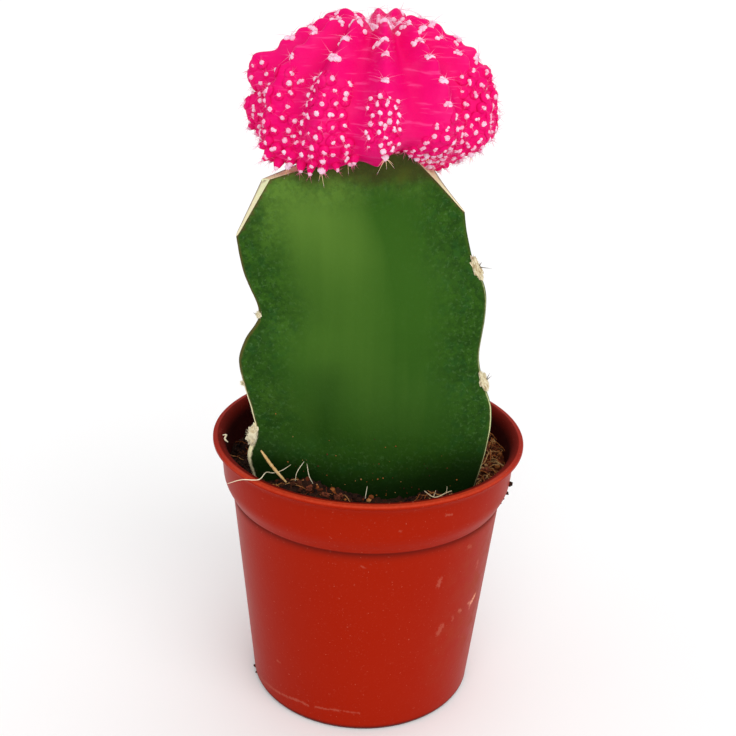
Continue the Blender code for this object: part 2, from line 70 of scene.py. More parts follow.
class Socket:  # one output of a node, so that sums can be written on it
    def __init__(self, finish, output):
        self.finish, self.output = finish, output

    __add__ = __radd__ = maths("ADD")
    __mul__ = __rmul__ = maths("MULTIPLY")
    __sub__, __rsub__ = maths("SUBTRACT"), maths("SUBTRACT", True)
    __truediv__ = maths("DIVIDE")
    bigger, smaller = maths("MAXIMUM"), maths("MINIMUM")

    def held(self):  # kept between 0 and 1
        return self.bigger(0.0).smaller(1.0)

    def between(self, low, high):  # 0 at low, 1 at high, with soft ends
        settings = {"interpolation_type": "SMOOTHSTEP"}
        return self.finish.node("ShaderNodeMapRange", settings, [self, low, high, 0.0, 1.0])


class Finish:  # one material and its nodes, with colours named as in the piece's dictionary
    def __init__(self, name, palette, roughness, specular, **fixed):
        self.palette = palette
        self.material = bpy.data.materials.new(name)
        self.material.use_nodes = True
        self.tree = self.material.node_tree
        self.shader = self.tree.nodes["Principled BSDF"]
        self.wear(Roughness=roughness, Specular_IOR_Level=specular, **fixed)
        texture = self.tree.nodes.new("ShaderNodeTexCoord")
        metres = Socket(self, texture.outputs["Object"])
        self.place = self.vector("SCALE", metres, scale=1 / mm)  # in millimetres

    def plug(self, target, value):  # a link, a colour's name or a plain value
        if isinstance(value, Socket):
            self.tree.links.new(value.output, target)
        elif isinstance(value, str):
            target.default_value = (*self.palette[value], 1.0)
        else:
            target.default_value = value

    def node(self, kind, settings, values, output=0):  # values by order or by socket name
        made = self.tree.nodes.new(kind)
        for name, value in settings.items():
            if name != "stops":
                setattr(made, name, value)
                continue
            stops = made.color_ramp.elements
            while len(stops) < len(value):
                stops.new(0.5)
            for stop, (position, colour) in zip(stops, value):
                stop.position, stop.color = position, (*self.palette[colour], 1.0)
        pairs = values.items() if isinstance(values, dict) else enumerate(values)
        for key, value in pairs:
            self.plug(made.inputs[key], value)
        return Socket(self, made.outputs[output])

    def vector(self, operation, first, second=None, scale=None, output=0):
        values = {0: first, 1: second, "Scale": scale}
        values = {key: value for key, value in values.items() if value is not None}
        return self.node("ShaderNodeVectorMath", {"operation": operation}, values, output)

    def axis(self, name):  # one coordinate, in millimetres
        return self.node("ShaderNodeSeparateXYZ", {}, [self.place], name)

    def grain(self, size, detail, roughness, stretch=(1, 1, 1), shift=0.0):  # about 0 to 1
        where = self.vector("MULTIPLY", self.place, [s / size for s in stretch])
        if shift:
            where = self.vector("ADD", where, (shift, shift * 1.7, shift * 0.6))
        values = {"Vector": where, "Scale": 1.0, "Detail": detail, "Roughness": roughness}
        return self.node("ShaderNodeTexNoise", {}, values)

    def worn(self):  # fine broken pattern for cork, felt and bark
        return self.grain(0.3, 4, 0.7, shift=13)

    def cells(self, size):  # distance from the middle of each of many small cells
        values = {"Vector": self.vector("MULTIPLY", self.place, [1 / size] * 3), "Scale": 1.0}
        return self.node("ShaderNodeTexVoronoi", {"feature": "F1"}, values, "Distance")

    def painted(self, name):  # a number kept on the mesh
        return self.node("ShaderNodeAttribute", {"attribute_name": name}, [], "Fac")

    def ramp(self, value, *stops):  # each stop is a position and a colour's name
        return self.node("ShaderNodeValToRGB", {"stops": stops}, [value])

    def mix(self, share, under, over):  # under where share is 0, over where it is 1
        settings = {"data_type": "RGBA", "blend_type": "MIX"}
        return self.node("ShaderNodeMix", settings, {0: share, 6: under, 7: over}, 2)

    def coats(self, colour, *layers):  # colours laid over one another, each with its share
        for share, over in layers:
            colour = self.mix(share, colour, over)
        return colour

    def near(self, start, end, reach):  # 1 on the line from start to end, 0 at reach from it
        along = Vector(end) - Vector(start)
        fromStart = self.vector("SUBTRACT", self.place, tuple(start))
        perLength = tuple(along / along.length_squared)
        share = self.vector("DOT_PRODUCT", fromStart, perLength, output="Value")
        onLine = self.vector("SCALE", tuple(along), scale=share.held())
        gap = self.vector("DISTANCE", fromStart, onLine, output="Value")
        return (1 - gap / reach).held()

    def raised(self, height, depth):  # a bump of that many millimetres
        values = {"Height": height, "Distance": depth * mm, "Strength": 1.0}
        return self.node("ShaderNodeBump", {}, values, "Normal")

    def wear(self, **feeds):  # values and links for the shader, by its sockets' names
        for name, value in feeds.items():
            self.plug(self.shader.inputs[name.replace("_", " ")], value)
        return self.material


# shapes that several pieces share

class Heap:  # points and faces gathered for one mesh, each point with a shade
    def __init__(self):
        self.points, self.faces, self.shades, self.slots, self.count = [], [], [], [], 0

    def add(self, points, faces, shade=0.0, slot=0):
        points = np.asarray(points, dtype=float)
        self.points.append(points)
        self.faces += [tuple(i + self.count for i in face) for face in faces]
        self.shades.append(np.broadcast_to(np.asarray(shade, dtype=float), (len(points),)))
        self.slots += [slot] * len(faces)
        self.count += len(points)

    def mesh(self, name, sharp=60.0):
        made = bpy.data.meshes.new(name)
        made.from_pydata((np.concatenate(self.points) * mm).tolist(), [], self.faces)
        shade = made.attributes.new("shade", "FLOAT", "POINT")
        shade.data.foreach_set("value", np.concatenate(self.shades))
        made.polygons.foreach_set("material_index", self.slots)
        made.shade_smooth()
        made.set_sharp_from_angle(angle=math.radians(sharp))
        return made

    def piece(self, name, sharp, finishes, slotName, *nodes):
        return addPiece(name, self.mesh(name, sharp), finishes, slotName, *nodes)


def addPiece(name, mesh, finishes, slotName, *nodes):  # nodes are those that the piece replaces
    for finish in finishes:
        mesh.materials.append(finish)
    piece = bpy.data.objects.new(name, mesh)
    bpy.context.scene.collection.objects.link(piece)
    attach(piece, "root")
    if nodes:
        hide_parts(*nodes)
    print("made", name, "-", sum(len(face.vertices) - 2 for face in mesh.polygons), "triangles")
    return piece


def loftFaces(rows, columns):  # faces over rows that are closed rings, with an end on each side
    faces = []
    for low in range(0, (rows - 1) * columns, columns):
        high = low + columns
        for c in range(columns):
            d = (c + 1) % columns
            faces.append((low + c, low + d, high + d, high + c))
    ends = tuple(range(columns))
    return faces + [ends[::-1], tuple((rows - 1) * columns + c for c in ends)]


def evenTurns(count, start=0.0):  # even turns round a circle, in radians
    return [2 * math.pi * (i + start) / count for i in range(count)]


def latheRings(profile, turns, x=0.0, y=0.0):  # rings of (radius, height) round an upright axis
    return [(x + r * math.cos(a), y + r * math.sin(a), z) for r, z in profile for a in turns]


def levelWay(degrees):  # the level way at that turn from +X
    turn = math.radians(degrees)
    return Vector((math.cos(turn), math.sin(turn), 0))


def filletPath(corners):  # corners are (radius, height, rounding)
    path, steps, most = [], 5, 0.48  # a rounding takes up less than half of a side
    for i, (x, z, rounding) in enumerate(corners):
        here = Vector((x, z))
        if not rounding:
            path.append(here)
            continue
        before = Vector(corners[i - 1][:2]) - here
        after = Vector(corners[i + 1][:2]) - here
        cut = rounding / math.tan(before.angle(after) / 2)
        start = here + before.normalized() * min(cut, before.length * most)
        end = here + after.normalized() * min(cut, after.length * most)
        for t in (s / steps for s in range(steps + 1)):
            path.append(start * (1 - t) ** 2 + here * 2 * t * (1 - t) + end * t * t)
    return path


def smoothThrough(points, at):  # a smooth curve through (position, value) points
    if at <= points[0][0]:
        return points[0][1]
    for i, ((x1, y1), (x2, y2)) in enumerate(zip(points, points[1:])):
        if at > x2:
            continue
        x0, y0 = points[max(i - 1, 0)]
        x3, y3 = points[min(i + 2, len(points) - 1)]
        width = x2 - x1
        start = (y2 - y0) / (x2 - x0) * width
        end = (y3 - y1) / (x3 - x1) * width
        t = (at - x1) / width
        rise = (2 * t**3 - 3 * t**2 + 1) * y1 + (t**3 - 2 * t**2 + t) * start
        return rise + (3 * t**2 - 2 * t**3) * y2 + (t**3 - t**2) * end
    return points[-1][1]


def smoothRoute(points, count):  # evenly read points of a smooth curve through the given ones
    along = [0.0]
    for a, b in zip(points, points[1:]):
        along.append(along[-1] + math.dist(a, b))
    axes = [[(s, p[k]) for s, p in zip(along, points)] for k in range(3)]
    places = [along[-1] * i / (count - 1) for i in range(count)]
    return [Vector([smoothThrough(axis, s) for axis in axes]) for s in places]


def tubeShape(route, radii, sides):  # a tapering tube along a route, closed at both ends
    route = [Vector(p) for p in route]
    across = (route[1] - route[0]).normalized().orthogonal().normalized()
    points = []
    for i, spot in enumerate(route):
        ahead = (route[min(i + 1, len(route) - 1)] - route[max(i - 1, 0)]).normalized()
        across = (across - ahead * across.dot(ahead)).normalized()
        other = ahead.cross(across)
        points += [spot + (across * math.cos(a) + other * math.sin(a)) * radii[i] for a in evenTurns(sides)]
    return points, loftFaces(len(route), sides)


def needleShape(root, way, length, thick, bend, sides, steps):  # a curved spine to a point
    root, way = Vector(root), Vector(way).normalized()
    route = [root + way * length * t + Vector(bend) * t * t for t in (i / steps for i in range(steps + 1))]
    return tubeShape(route, [thick * (1 - 0.9 * i / steps) for i in range(steps + 1)], sides)


def basisOn(normal):  # two directions across a normal, and the normal
    normal = Vector(normal).normalized()
    across = normal.orthogonal().normalized()
    return across, normal.cross(across), normal


def domeShape(centre, normal, radius, height, sides, rows, lumps, chance):  # a knob, flat below
    across, other, out = basisOn(normal)
    centre, wrap = Vector(centre), math.radians(118)  # the knob closes in again below its middle
    points = [centre + out * height]
    for r in range(1, rows + 1):
        t = wrap * r / rows
        for turn in evenTurns(sides, 0.5 * (r % 2)):
            swell = 1 + lumps * chance.uniform(-1, 1)
            side = (across * math.cos(turn) + other * math.sin(turn)) * radius * math.sin(t) * swell
            points.append(centre + side + out * height * math.cos(t) * swell)
    faces = [(0, 1 + s, 1 + (s + 1) % sides) for s in range(sides)]
    walls = loftFaces(rows, sides)[:-2]
    faces += [(1 + a, 1 + d, 1 + c, 1 + b) for a, b, c, d in walls]
    faces.append(tuple(1 + (rows - 1) * sides + s for s in range(sides))[::-1])
    return points, faces


def roundBall(level):  # points and faces of an even ball of radius 1
    bm = bmesh.new()
    bmesh.ops.create_icosphere(bm, subdivisions=level, radius=1.0)
    points = np.array([v.co[:] for v in bm.verts])
    faces = [tuple(v.index for v in f.verts) for f in bm.faces]
    bm.free()
    return points, faces


smallBall, fineBall = roundBall(1), roundBall(4)


def bump(distance, spread):  # 1 at the middle of a soft hump
    return math.exp(-((distance / spread) ** 2))


def shareBetween(value, low, high):  # 0 below low, 1 above high, even between them
    return min(1.0, max(0.0, (value - low) / (high - low)))


def rough(x, y, z, size, seed=0.0):  # soft random number from -1 to 1 at a place
    return noise.noise(Vector((x / size + seed, y / size - seed, z / size + seed * 0.3)))


def uneven(p, layers):  # how far a surface swells at a place: height, size and seed of each layer
    return sum(height * rough(*p, size, seed) for height, size, seed in layers)


def anyWay(chance, spread=1.0):
    return Vector([chance.gauss(0, spread) for _ in range(3)])


def anySize(chance, least, falloff, greatest):  # mostly near the least
    return min(greatest, least + chance.expovariate(falloff))


def lumpyGrain(chance, least):  # a small ball with dents
    points, faces = smallBall
    return points * np.array([chance.uniform(least, 1.15) for _ in points])[:, None], faces


# the nursery pot

pot = {
    "height": 49.4,
    "lipRadius": 27.5,
    "lipThickness": 0.8,
    "lipWidth": 1.2,
    # height and outer radius at the foot, the middle and the top of the band, where the lip flares
    "band": ((39.3, 24.5), (41.6, 25.65), (46.8, 26.0)),
    # where the step under the band starts and ends, from the band's foot
    "outerStep": (-0.6, 0.0),
    "innerStep": (-0.9, 0.3),
    "bodyTopRadius": 24.1,
    "baseRadius": 20.3,
    "footWidth": 1.6,
    "footDepth": 1.5,
    "wall": 0.9,
    "segments": 256,
    "drainHoles": 6,
    "drainCircle": 12.5,
    "drainShift": 0.0375,  # how far the first hole is from +X, as a share of the gap between two
    "drainCutter": ((2.0, -1.0), (2.0, 1.5), (1.8, 2.4), (1.8, 6.0)),  # radius and height
    # how far out the middle of the wall goes for each millimetre up, and where it starts
    "bandLean": 0.173,
    "flareLean": 0.27,
    "bandMiddleStart": (24.1, 24.4),
    "plastic": (0.327, 0.0105, 0.0006),
    "faded": (0.332, 0.0125, 0.0014),
    "scuff": (0.80, 0.33, 0.22),
    "dust": (0.300, 0.095, 0.040),
    # a dark peat stain, also used as painted shade
    "peatStain": (0.022, 0.0045, 0.0045),
    # painted highlight on the lip's top in front
    "lipShine": (0.700, 0.085, 0.034),
    # the dusty part of the wall and the scuffs: from and to, each as a turn from the front in
    # degrees and a height, and the reach; a scuff also has a strength
    "dusty": ((62, 14), (66, 37), 13),
    "scuffs": (
        ((59.3, 21.5), (63.0, 22.4), 0.62, 0.90), ((56.6, 22.2), (58.6, 21.9), 0.50, 0.38),
        ((59.0, 21.0), (58.8, 20.6), 0.40, 0.25), ((33.8, 31.5), (33.3, 30.2), 0.60, 0.15),
        ((38.8, 20.7), (36.9, 19.4), 0.75, 0.14), ((49.2, 22.2), (50.2, 21.8), 0.50, 0.22),
        ((45.0, 21.5), (45.3, 20.9), 0.45, 0.11), ((58.5, 30.7), (58.9, 29.5), 0.45, 0.16),
        ((48.0, 35.8), (49.2, 35.7), 0.45, 0.14), ((30.4, 45.4), (32.4, 45.3), 0.35, 0.14),
        ((-44.0, 10.6), (-42.5, 10.5), 0.35, 0.14), ((-1.0, 36.2), (0.2, 36.0), 0.30, 0.10),
        ((12.2, 43.9), (12.9, 43.8), 0.30, 0.10),
        # scratches that run round the foot of the wall
        ((-64.0, 2.0), (-54.0, 2.6), 0.40, 0.12), ((-54.0, 2.6), (-44.5, 3.0), 0.40, 0.14),
        ((-44.5, 3.0), (-31.5, 3.8), 0.40, 0.15), ((-31.5, 3.8), (-26.5, 3.6), 0.40, 0.14),
        ((-22.0, 3.8), (-9.5, 4.2), 0.34, 0.13), ((-7.0, 4.2), (0.5, 4.0), 0.30, 0.10),
    ),
}


def flare(start, end):  # a quarter curl from an upright wall to a level lip
    (r1, z1), (r2, z2), steps = start, end, 10
    turns = [math.pi / 2 * i / steps for i in range(1, steps)]
    return [(r1 + (r2 - r1) * (1 - math.cos(a)), z1 + (z2 - z1) * math.sin(a), 0) for a in turns]


def wallAt(turn, height):  # a point of the outer wall, with the turn in degrees from the front
    share = height / pot["band"][0][0]
    body = pot["baseRadius"] + (pot["bodyTopRadius"] - pot["baseRadius"]) * share
    radius = body if share < 1 else smoothThrough(pot["band"], height)
    return levelWay(turn - 90) * radius + Vector((0, 0, height))


def innerWall(height):  # inner radius of the pot
    (foot, footRadius), *above = pot["band"]
    start, end = pot["innerStep"]
    steps = [(pot["footDepth"] + pot["wall"], pot["baseRadius"]), (foot + start, pot["bodyTopRadius"]),
             (foot + end, footRadius), *above]
    return float(np.interp(height, *zip(*steps))) - pot["wall"]


def potProfile():  # from under the floor's middle, out and over the lip, and back inside
    top, wall, lip, base = (pot[name] for name in ("height", "wall", "lipRadius", "baseRadius"))
    (bandFoot, footRadius), (middle, middleRadius), (flareFoot, flareRadius) = pot["band"]
    (outerStart, outerEnd), (innerStart, innerEnd) = pot["outerStep"], pot["innerStep"]
    foot, floor, drainRoom = base - pot["footWidth"], pot["footDepth"], 0.6
    under, lipInside = top - pot["lipThickness"], lip - pot["lipWidth"]
    return filletPath([
        (drainRoom, floor, 0),
        (foot - 0.4, floor, 0.3),
        (foot, 0.0, 0.25),
        (base - 0.3, 0.0, 0.3),
        (base + 0.05, 0.6, 0.3),
        (pot["bodyTopRadius"], bandFoot + outerStart, 0.25),
        (footRadius, bandFoot + outerEnd, 0.3),
        (middleRadius, middle, 6.0),
        (flareRadius, flareFoot, 0),
        *flare((flareRadius, flareFoot), (lip, under)),
        (lip - 0.25, under, 0.12),
        (lip, under + 0.18, 0.12),
        (lip, top, 0.32),
        (lipInside, top, 0.3),
        *flare((flareRadius - wall, flareFoot), (lipInside, top - 0.05))[::-1],
        (flareRadius - wall, flareFoot, 0),
        (middleRadius - wall, middle, 0),
        (footRadius - wall, bandFoot + innerEnd, 0.3),
        (pot["bodyTopRadius"] - wall, bandFoot + innerStart, 0.3),
        (base - wall, floor + wall, 0.8),
        (drainRoom, floor + wall, 0),
    ])


def potPlastic():
    f = Finish("potPlastic", pot, 0.3, 0.035)
    cloud, speck = f.grain(9.0, 3, 0.55), f.grain(0.5, 2, 0.6, shift=4.0)
    worn = f.grain(0.42, 3, 0.7, shift=7)
    radius = f.vector("LENGTH", f.vector("MULTIPLY", f.place, (1, 1, 0)), output="Value")
    height = f.axis("Z")
    # fine grey dust that has settled low on the right flank
    low, high, reach = pot["dusty"]
    dusty = f.near(wallAt(*low), wallAt(*high), reach) * f.grain(2.6, 4, 0.65, shift=9).between(0.35, 0.8)
    # peat washed up the inside of the wall, with painted shade there too
    band = (height - pot["band"][0][0]) * pot["bandLean"]
    flared = (height - pot["band"][2][0]).bigger(0.0) * pot["flareLean"]
    inside = (1 - (radius - band - flared).between(*pot["bandMiddleStart"])) * height.between(36, 39)
    insideStainAndShade = inside * (1 - (height + f.grain(3.0, 4, 0.6, shift=2) * 1.1).between(49.9, 50.7))
    # painted highlight: the lip's top is painted brighter in front
    lipHighlightMask = height.between(48.9, 49.25) * (1 - inside) * (1 - f.axis("Y").between(-20, -8))
    ragged = (worn - 0.5) * 2.2
    marks = reduce(Socket.bigger, [
        (f.near(wallAt(*start), wallAt(*end), reach * 1.5) + ragged).between(0.30, 0.90) * strength
        for start, end, reach, strength in pot["scuffs"]])
    colour = f.coats(
        "plastic",
        (cloud.between(0.35, 0.8) * 0.45, "faded"),
        (speck.between(0.62, 0.74) * 0.03, "scuff"),
        (dusty * 0.35, "dust"),
        # peat stain and painted shade inside the wall, a little less of it near the lip
        (insideStainAndShade * (0.9 - height.between(47.2, 49.0) * 0.25), "peatStain"),
        (lipHighlightMask * (0.10 + speck * 0.5), "lipShine"),
        # painted shadow: the very foot of the pot is darkened
        ((1 - height.between(0.2, 1.3)) * 0.80, "peatStain"),  # painted shadow where it stands
        (marks, "scuff"))
    roughness = 0.27 + cloud * 0.10 + speck * 0.06 + marks * 0.25 + insideStainAndShade * 0.45 + dusty * 0.2
    relief = f.grain(0.55, 2, 0.5) * 0.5 + f.grain(4.5, 2, 0.5, shift=3) + marks * 1.2 + insideStainAndShade * worn * 2
    return f.wear(Base_Color=colour, Roughness=roughness, Normal=f.raised(relief, 0.035))


def makePot():
    profile, turns = potProfile(), evenTurns(pot["segments"])
    heap = Heap()
    heap.add(latheRings(profile, turns), loftFaces(len(profile), len(turns)))
    piece = heap.piece("pot", 35, [potPlastic()], "pot_plastic", "nursery_pot")
    drains, cutter, sides = Heap(), pot["drainCutter"], 32
    for turn in evenTurns(pot["drainHoles"], pot["drainShift"]):
        x, y = pot["drainCircle"] * math.cos(turn), pot["drainCircle"] * math.sin(turn)
        drains.add(latheRings(cutter, evenTurns(sides, 0.5), x, y), loftFaces(len(cutter), sides))
    carve(piece, drains.mesh("drains"))


def carve(piece, cutterMesh):  # take the cutter's shape out of a piece
    cutter = bpy.data.objects.new("cutter", cutterMesh)
    bpy.context.scene.collection.objects.link(cutter)
    modifier = piece.modifiers.new("carve", "BOOLEAN")
    modifier.operation, modifier.solver, modifier.object = "DIFFERENCE", "EXACT", cutter
    graph = bpy.context.evaluated_depsgraph_get()
    carved = bpy.data.meshes.new_from_object(piece.evaluated_get(graph))
    piece.modifiers.clear()
    piece.data = carved
    bpy.data.objects.remove(cutter)


# the rootstock, a stem with three ribs

stem = {
    "axis": Vector((-1.0, 0.0, 0.0)),
    "foot": 18.0,
    "top": 104.0,
    "marginRadius": 1.05,
    "ribTurns": {"left": 210.0, "right": 330.0, "back": 90.0},
    # each rib's margin: height, reach from the stem's axis
    "margins": {
        "left": (
            (18.0, 6.0), (26.0, 13.0), (36.0, 19.0), (46.0, 21.6), (49.5, 22.3), (53.5, 20.9),
            (57.3, 21.5), (66.5, 23.8), (70.2, 22.7), (74.2, 20.1), (81.5, 22.7), (88.0, 24.1),
            (104.0, 26.0),
        ),
        "right": (
            (18.0, 6.0), (26.0, 13.0), (36.0, 19.4), (43.7, 22.0), (52.0, 24.0), (60.0, 24.3),
            (65.0, 22.3), (68.5, 21.5), (76.0, 22.1), (80.5, 21.6), (85.5, 18.9), (92.6, 17.1),
            (104.0, 16.6),
        ),
        "back": (
            (18.0, 6.0), (26.0, 12.5), (36.0, 18.0), (45.0, 20.4), (54.0, 22.2), (59.0, 20.2),
            (67.0, 22.6), (73.0, 22.0), (78.5, 19.4), (86.0, 21.6), (92.0, 22.0), (104.0, 21.0),
        ),
    },
    # depth of each face's middle and how far its margins are turned, in degrees: front first
    "faces": ((13.3, 68.0), (9.6, 84.0), (9.6, 84.0)),
    "fullReach": 20.0,  # mean reach of the ribs where the faces are at their full depth
    "flankPulls": (0.38, 0.45),  # how straight a face leaves the margin and comes to its middle
    # height, size and seed of each layer of unevenness, and how far the skin is moved in for it
    "uneven": ((0.16, 7.0, 0.0), (0.05, 1.8, 3.0)),
    "inset": 0.08,
    "rings": 250,
    "arcSteps": 7,
    "flankSteps": 24,
    # the grafting knife's cuts: a point on each and the way that it faces
    "cuts": (
        ((0.0, 0.0, 100.7), (-0.13, 0.07, 1.0)),
        ((-19.2, -12.7, 92.4), (-0.866, -0.169, 0.471)),
        ((-13.9, -13.1, 98.35), (-0.334, 0.110, 0.936)),
        ((10.1, -9.5, 96.15), (0.720, 0.010, 0.694)),
        ((-1.0, 15.0, 94.5), (0.0, 0.72, 0.69)),
    ),
    "cutSpacing": 0.42,  # between the points of the skin on a cut
    "cutRimGap": 0.16,  # least distance of those points from its rim
    "cutSink": (0.05, 0.7),  # how deep it sinks, and how far from the rim it is that deep
    "cutUneven": (0.05, 1.6),  # height and size of its unevenness
    "cutEdgeWidth": 0.3,
    "skin": (0.0290, 0.0930, 0.0068),
    # painted light: the paler green laid where the light falls most
    "skinLight": (0.0920, 0.1900, 0.0240),
    "skinDark": (0.0090, 0.0360, 0.0035),
    "skinBlue": (0.0070, 0.0600, 0.0150),
    "skinLow": (0.0050, 0.0160, 0.0020),
    "fleck": (0.150, 0.300, 0.100),
    "yellowed": (0.150, 0.260, 0.015),
    "graftBrown": (0.042, 0.030, 0.008),
    "cork": (0.105, 0.085, 0.020),
    "creamCork": (0.960, 0.880, 0.540),
    "greenCork": (0.700, 0.730, 0.360),
    "flesh": (0.950, 0.870, 0.540),
    "fleshFresh": (0.880, 0.930, 0.540),
    "driedFlesh": (0.360, 0.240, 0.170),
    "scar": (0.090, 0.050, 0.020),
    # patches on the front, each from a point to a point with its reach: a painted patch of light, a painted
    # patch of shade and a yellowed spot
    "paintedLightPatch": ((-15.5, -11.5, 59.0), (-13.0, -12.5, 57.5), 6.0),
    "shadedPatch": ((-6.8, -12.6, 64.0), (-7.5, -12.4, 55.0), 4.5),
    "yellowPatch": ((4.2, -12.5, 98.6), (7.4, -12.0, 100.0), 1.9),
}
knifeCuts = [(Vector(point), Vector(facing).normalized()) for point, facing in stem["cuts"]]


def facePoints(start, end, middle, leave, edge):  # one face of the stem's section
    arcSteps, flankSteps, (pullOut, pullIn) = stem["arcSteps"], stem["flankSteps"], stem["flankPulls"]
    turns = [math.radians(leave * k / (arcSteps - 1)) for k in range(arcSteps)]

    def corner(margin, other):  # the arc round a rib's tip, and the way that it ends in
        way, reach = margin
        side = (other[0] - way * way.dot(other[0])).normalized()
        centre = way * (reach - edge)
        arc = [centre + (way * math.cos(a) + side * math.sin(a)) * edge for a in turns]
        return arc, side * math.cos(turns[-1]) - way * math.sin(turns[-1])

    def flank(a, lean, ahead):  # a curve from the arc's end to the face's middle
        pull = (middle - a).length
        b, c = a + lean * pull * pullOut, middle - ahead * pull * pullIn
        curve = []
        for t in ((k + 1) / (flankSteps + 1) for k in range(flankSteps)):
            s = 1 - t
            curve.append(a * s**3 + b * 3 * t * s**2 + c * 3 * t * t * s + middle * t**3)
        return curve

    (first, firstLean), (last, lastLean) = corner(start, end), corner(end, start)
    across = (last[-1] - first[-1]).normalized()
    left, right = flank(first[-1], firstLean, across), flank(last[-1], lastLean, -across)
    return [*first, *left, middle, *right[::-1], *last[:0:-1]]


def stemSection(height, grow=0.0):  # the stem's outline at a height
    ways = [levelWay(turn) for turn in stem["ribTurns"].values()]
    reaches = [smoothThrough(margin, height) for margin in stem["margins"].values()]
    fullness = min(1.0, sum(reaches) / 3 / stem["fullReach"])
    ribs = [(way, reach + grow) for way, reach in zip(ways, reaches)]
    outline = []
    for start, end, (depth, leave) in zip(ribs, ribs[1:] + ribs[:1], stem["faces"]):
        middle = (start[0] + end[0]).normalized() * (depth * fullness + grow)
        outline += facePoints(start, end, middle, leave, stem["marginRadius"] + grow)
    return [stem["axis"] + p + Vector((0, 0, height)) for p in outline]


@cache
def flatSection(height):  # the outline seen from above
    return np.array([p[:2] for p in stemSection(height)])


def marginAt(rib, height):  # the tip of a rib at a height
    reach = smoothThrough(stem["margins"][rib], height)
    return stem["axis"] + levelWay(stem["ribTurns"][rib]) * reach + Vector((0, 0, height))


@cache
def tipsAt(height):  # the tips of all the ribs
    return [marginAt(rib, height) for rib in stem["ribTurns"]]


def pastCuts(spot):  # how far a point is past the knife's cuts, below 0 within them all
    return max((spot - point).dot(facing) for point, facing in knifeCuts)


def stemHolds(spot):  # whether a point is inside the stem, below its cuts
    return pastCuts(spot) <= 0 and insideRim(spot[:2], flatSection(round(spot.z * 2) / 2))


def cutStem(bm):  # the knife's cuts, each closed by one flat face in the second material
    for point, facing in knifeCuts:
        parts = bm.verts[:] + bm.edges[:] + bm.faces[:]
        bmesh.ops.bisect_plane(
            bm, geom=parts, dist=1e-5, plane_co=point, plane_no=facing, clear_outer=True)
        rim = [edge for edge in bm.edges if edge.is_boundary]
        for face in bmesh.ops.contextual_create(bm, geom=rim)["faces"]:
            face.material_index = 1


def fillCut(bm, face, acrossLayer):  # a fine skin over a cut, sunk a little as it dries
    corners, normal = list(face.verts), face.normal.copy()
    across, other, _ = basisOn(normal)
    origin = corners[0].co.copy()
    flat = [Vector(((v.co - origin).dot(across), (v.co - origin).dot(other))) for v in corners]
    rim = np.array([p[:] for p in flat])
    ahead = np.roll(rim, -1, axis=0) - rim
    lengths = np.maximum((ahead**2).sum(axis=1), 1e-12)

    def rimGap(spot):  # distance to the rim
        share = np.clip(((spot - rim) * ahead).sum(axis=1) / lengths, 0, 1)
        return np.sqrt((((rim + ahead * share[:, None]) - spot) ** 2).sum(axis=1).min())

    spacing, low = stem["cutSpacing"], rim.min(axis=0)
    (sunk, sunkAt), (rise, size) = stem["cutSink"], stem["cutUneven"]
    columns, rows = (int(span / spacing) + 1 for span in rim.max(axis=0) - low)
    inner, gaps = [], []
    for r, c in np.ndindex(rows, columns):
        spot = low + np.array([c + 0.5 * (r % 2), r]) * spacing
        gap = rimGap(spot)
        if gap > stem["cutRimGap"] and insideRim(spot, rim):
            inner.append(Vector(spot))
            gaps.append(gap)
    places = [v.co.copy() for v in corners]
    for vert in corners:
        vert[acrossLayer] = shareAcross(vert.co, places)
    ends = list(range(len(flat)))
    edges = list(zip(ends, ends[1:] + ends[:1]))
    spots, _, faces, origins, _, _ = delaunay_2d_cdt(flat + inner, edges, [ends], 1, 1e-4)
    verts = []
    for spot, sources in zip(spots, origins):
        source = min(sources) if sources else -1
        if 0 <= source < len(corners):
            verts.append(corners[source])
            continue
        gap = gaps[source - len(corners)] if source >= 0 else 0.0
        place = origin + across * spot.x + other * spot.y
        sink = sunk * min(1.0, gap / sunkAt) + rise * rough(*place, size) * min(1.0, gap)
        vert = bm.verts.new(place - normal * sink)
        vert[acrossLayer] = shareAcross(place, places)
        verts.append(vert)
    bm.faces.remove(face)
    for triangle in faces:
        trio = [verts[i] for i in triangle]
        if len(set(trio)) == 3:
            made = bm.faces.new(trio)
            made.material_index = 1
            made.normal_update()
            if made.normal.dot(normal) < 0:
                made.normal_flip()


def shareAcross(spot, rim):  # how far a point of a cut is from its front towards its back, 0 to 1
    crossings = []
    for a, b in zip(rim, rim[1:] + rim[:1]):
        if (a.x - spot.x) * (b.x - spot.x) <= 0 and a.x != b.x:
            crossings.append(a.y + (b.y - a.y) * (spot.x - a.x) / (b.x - a.x))
    if len(crossings) < 2:
        return 0.5
    low, high = min(crossings), max(crossings)
    return shareBetween(spot.y, low, max(high, low + 0.01))


def insideRim(spot, rim):  # whether a flat point is inside the closed outline
    x, y = spot
    a, b = rim, np.roll(rim, -1, axis=0)
    crosses = (a[:, 1] > y) != (b[:, 1] > y)
    with np.errstate(divide="ignore", invalid="ignore"):
        at = (b[:, 0] - a[:, 0]) * (y - a[:, 1]) / (b[:, 1] - a[:, 1]) + a[:, 0]
    return bool((crosses & (x < at)).sum() % 2)


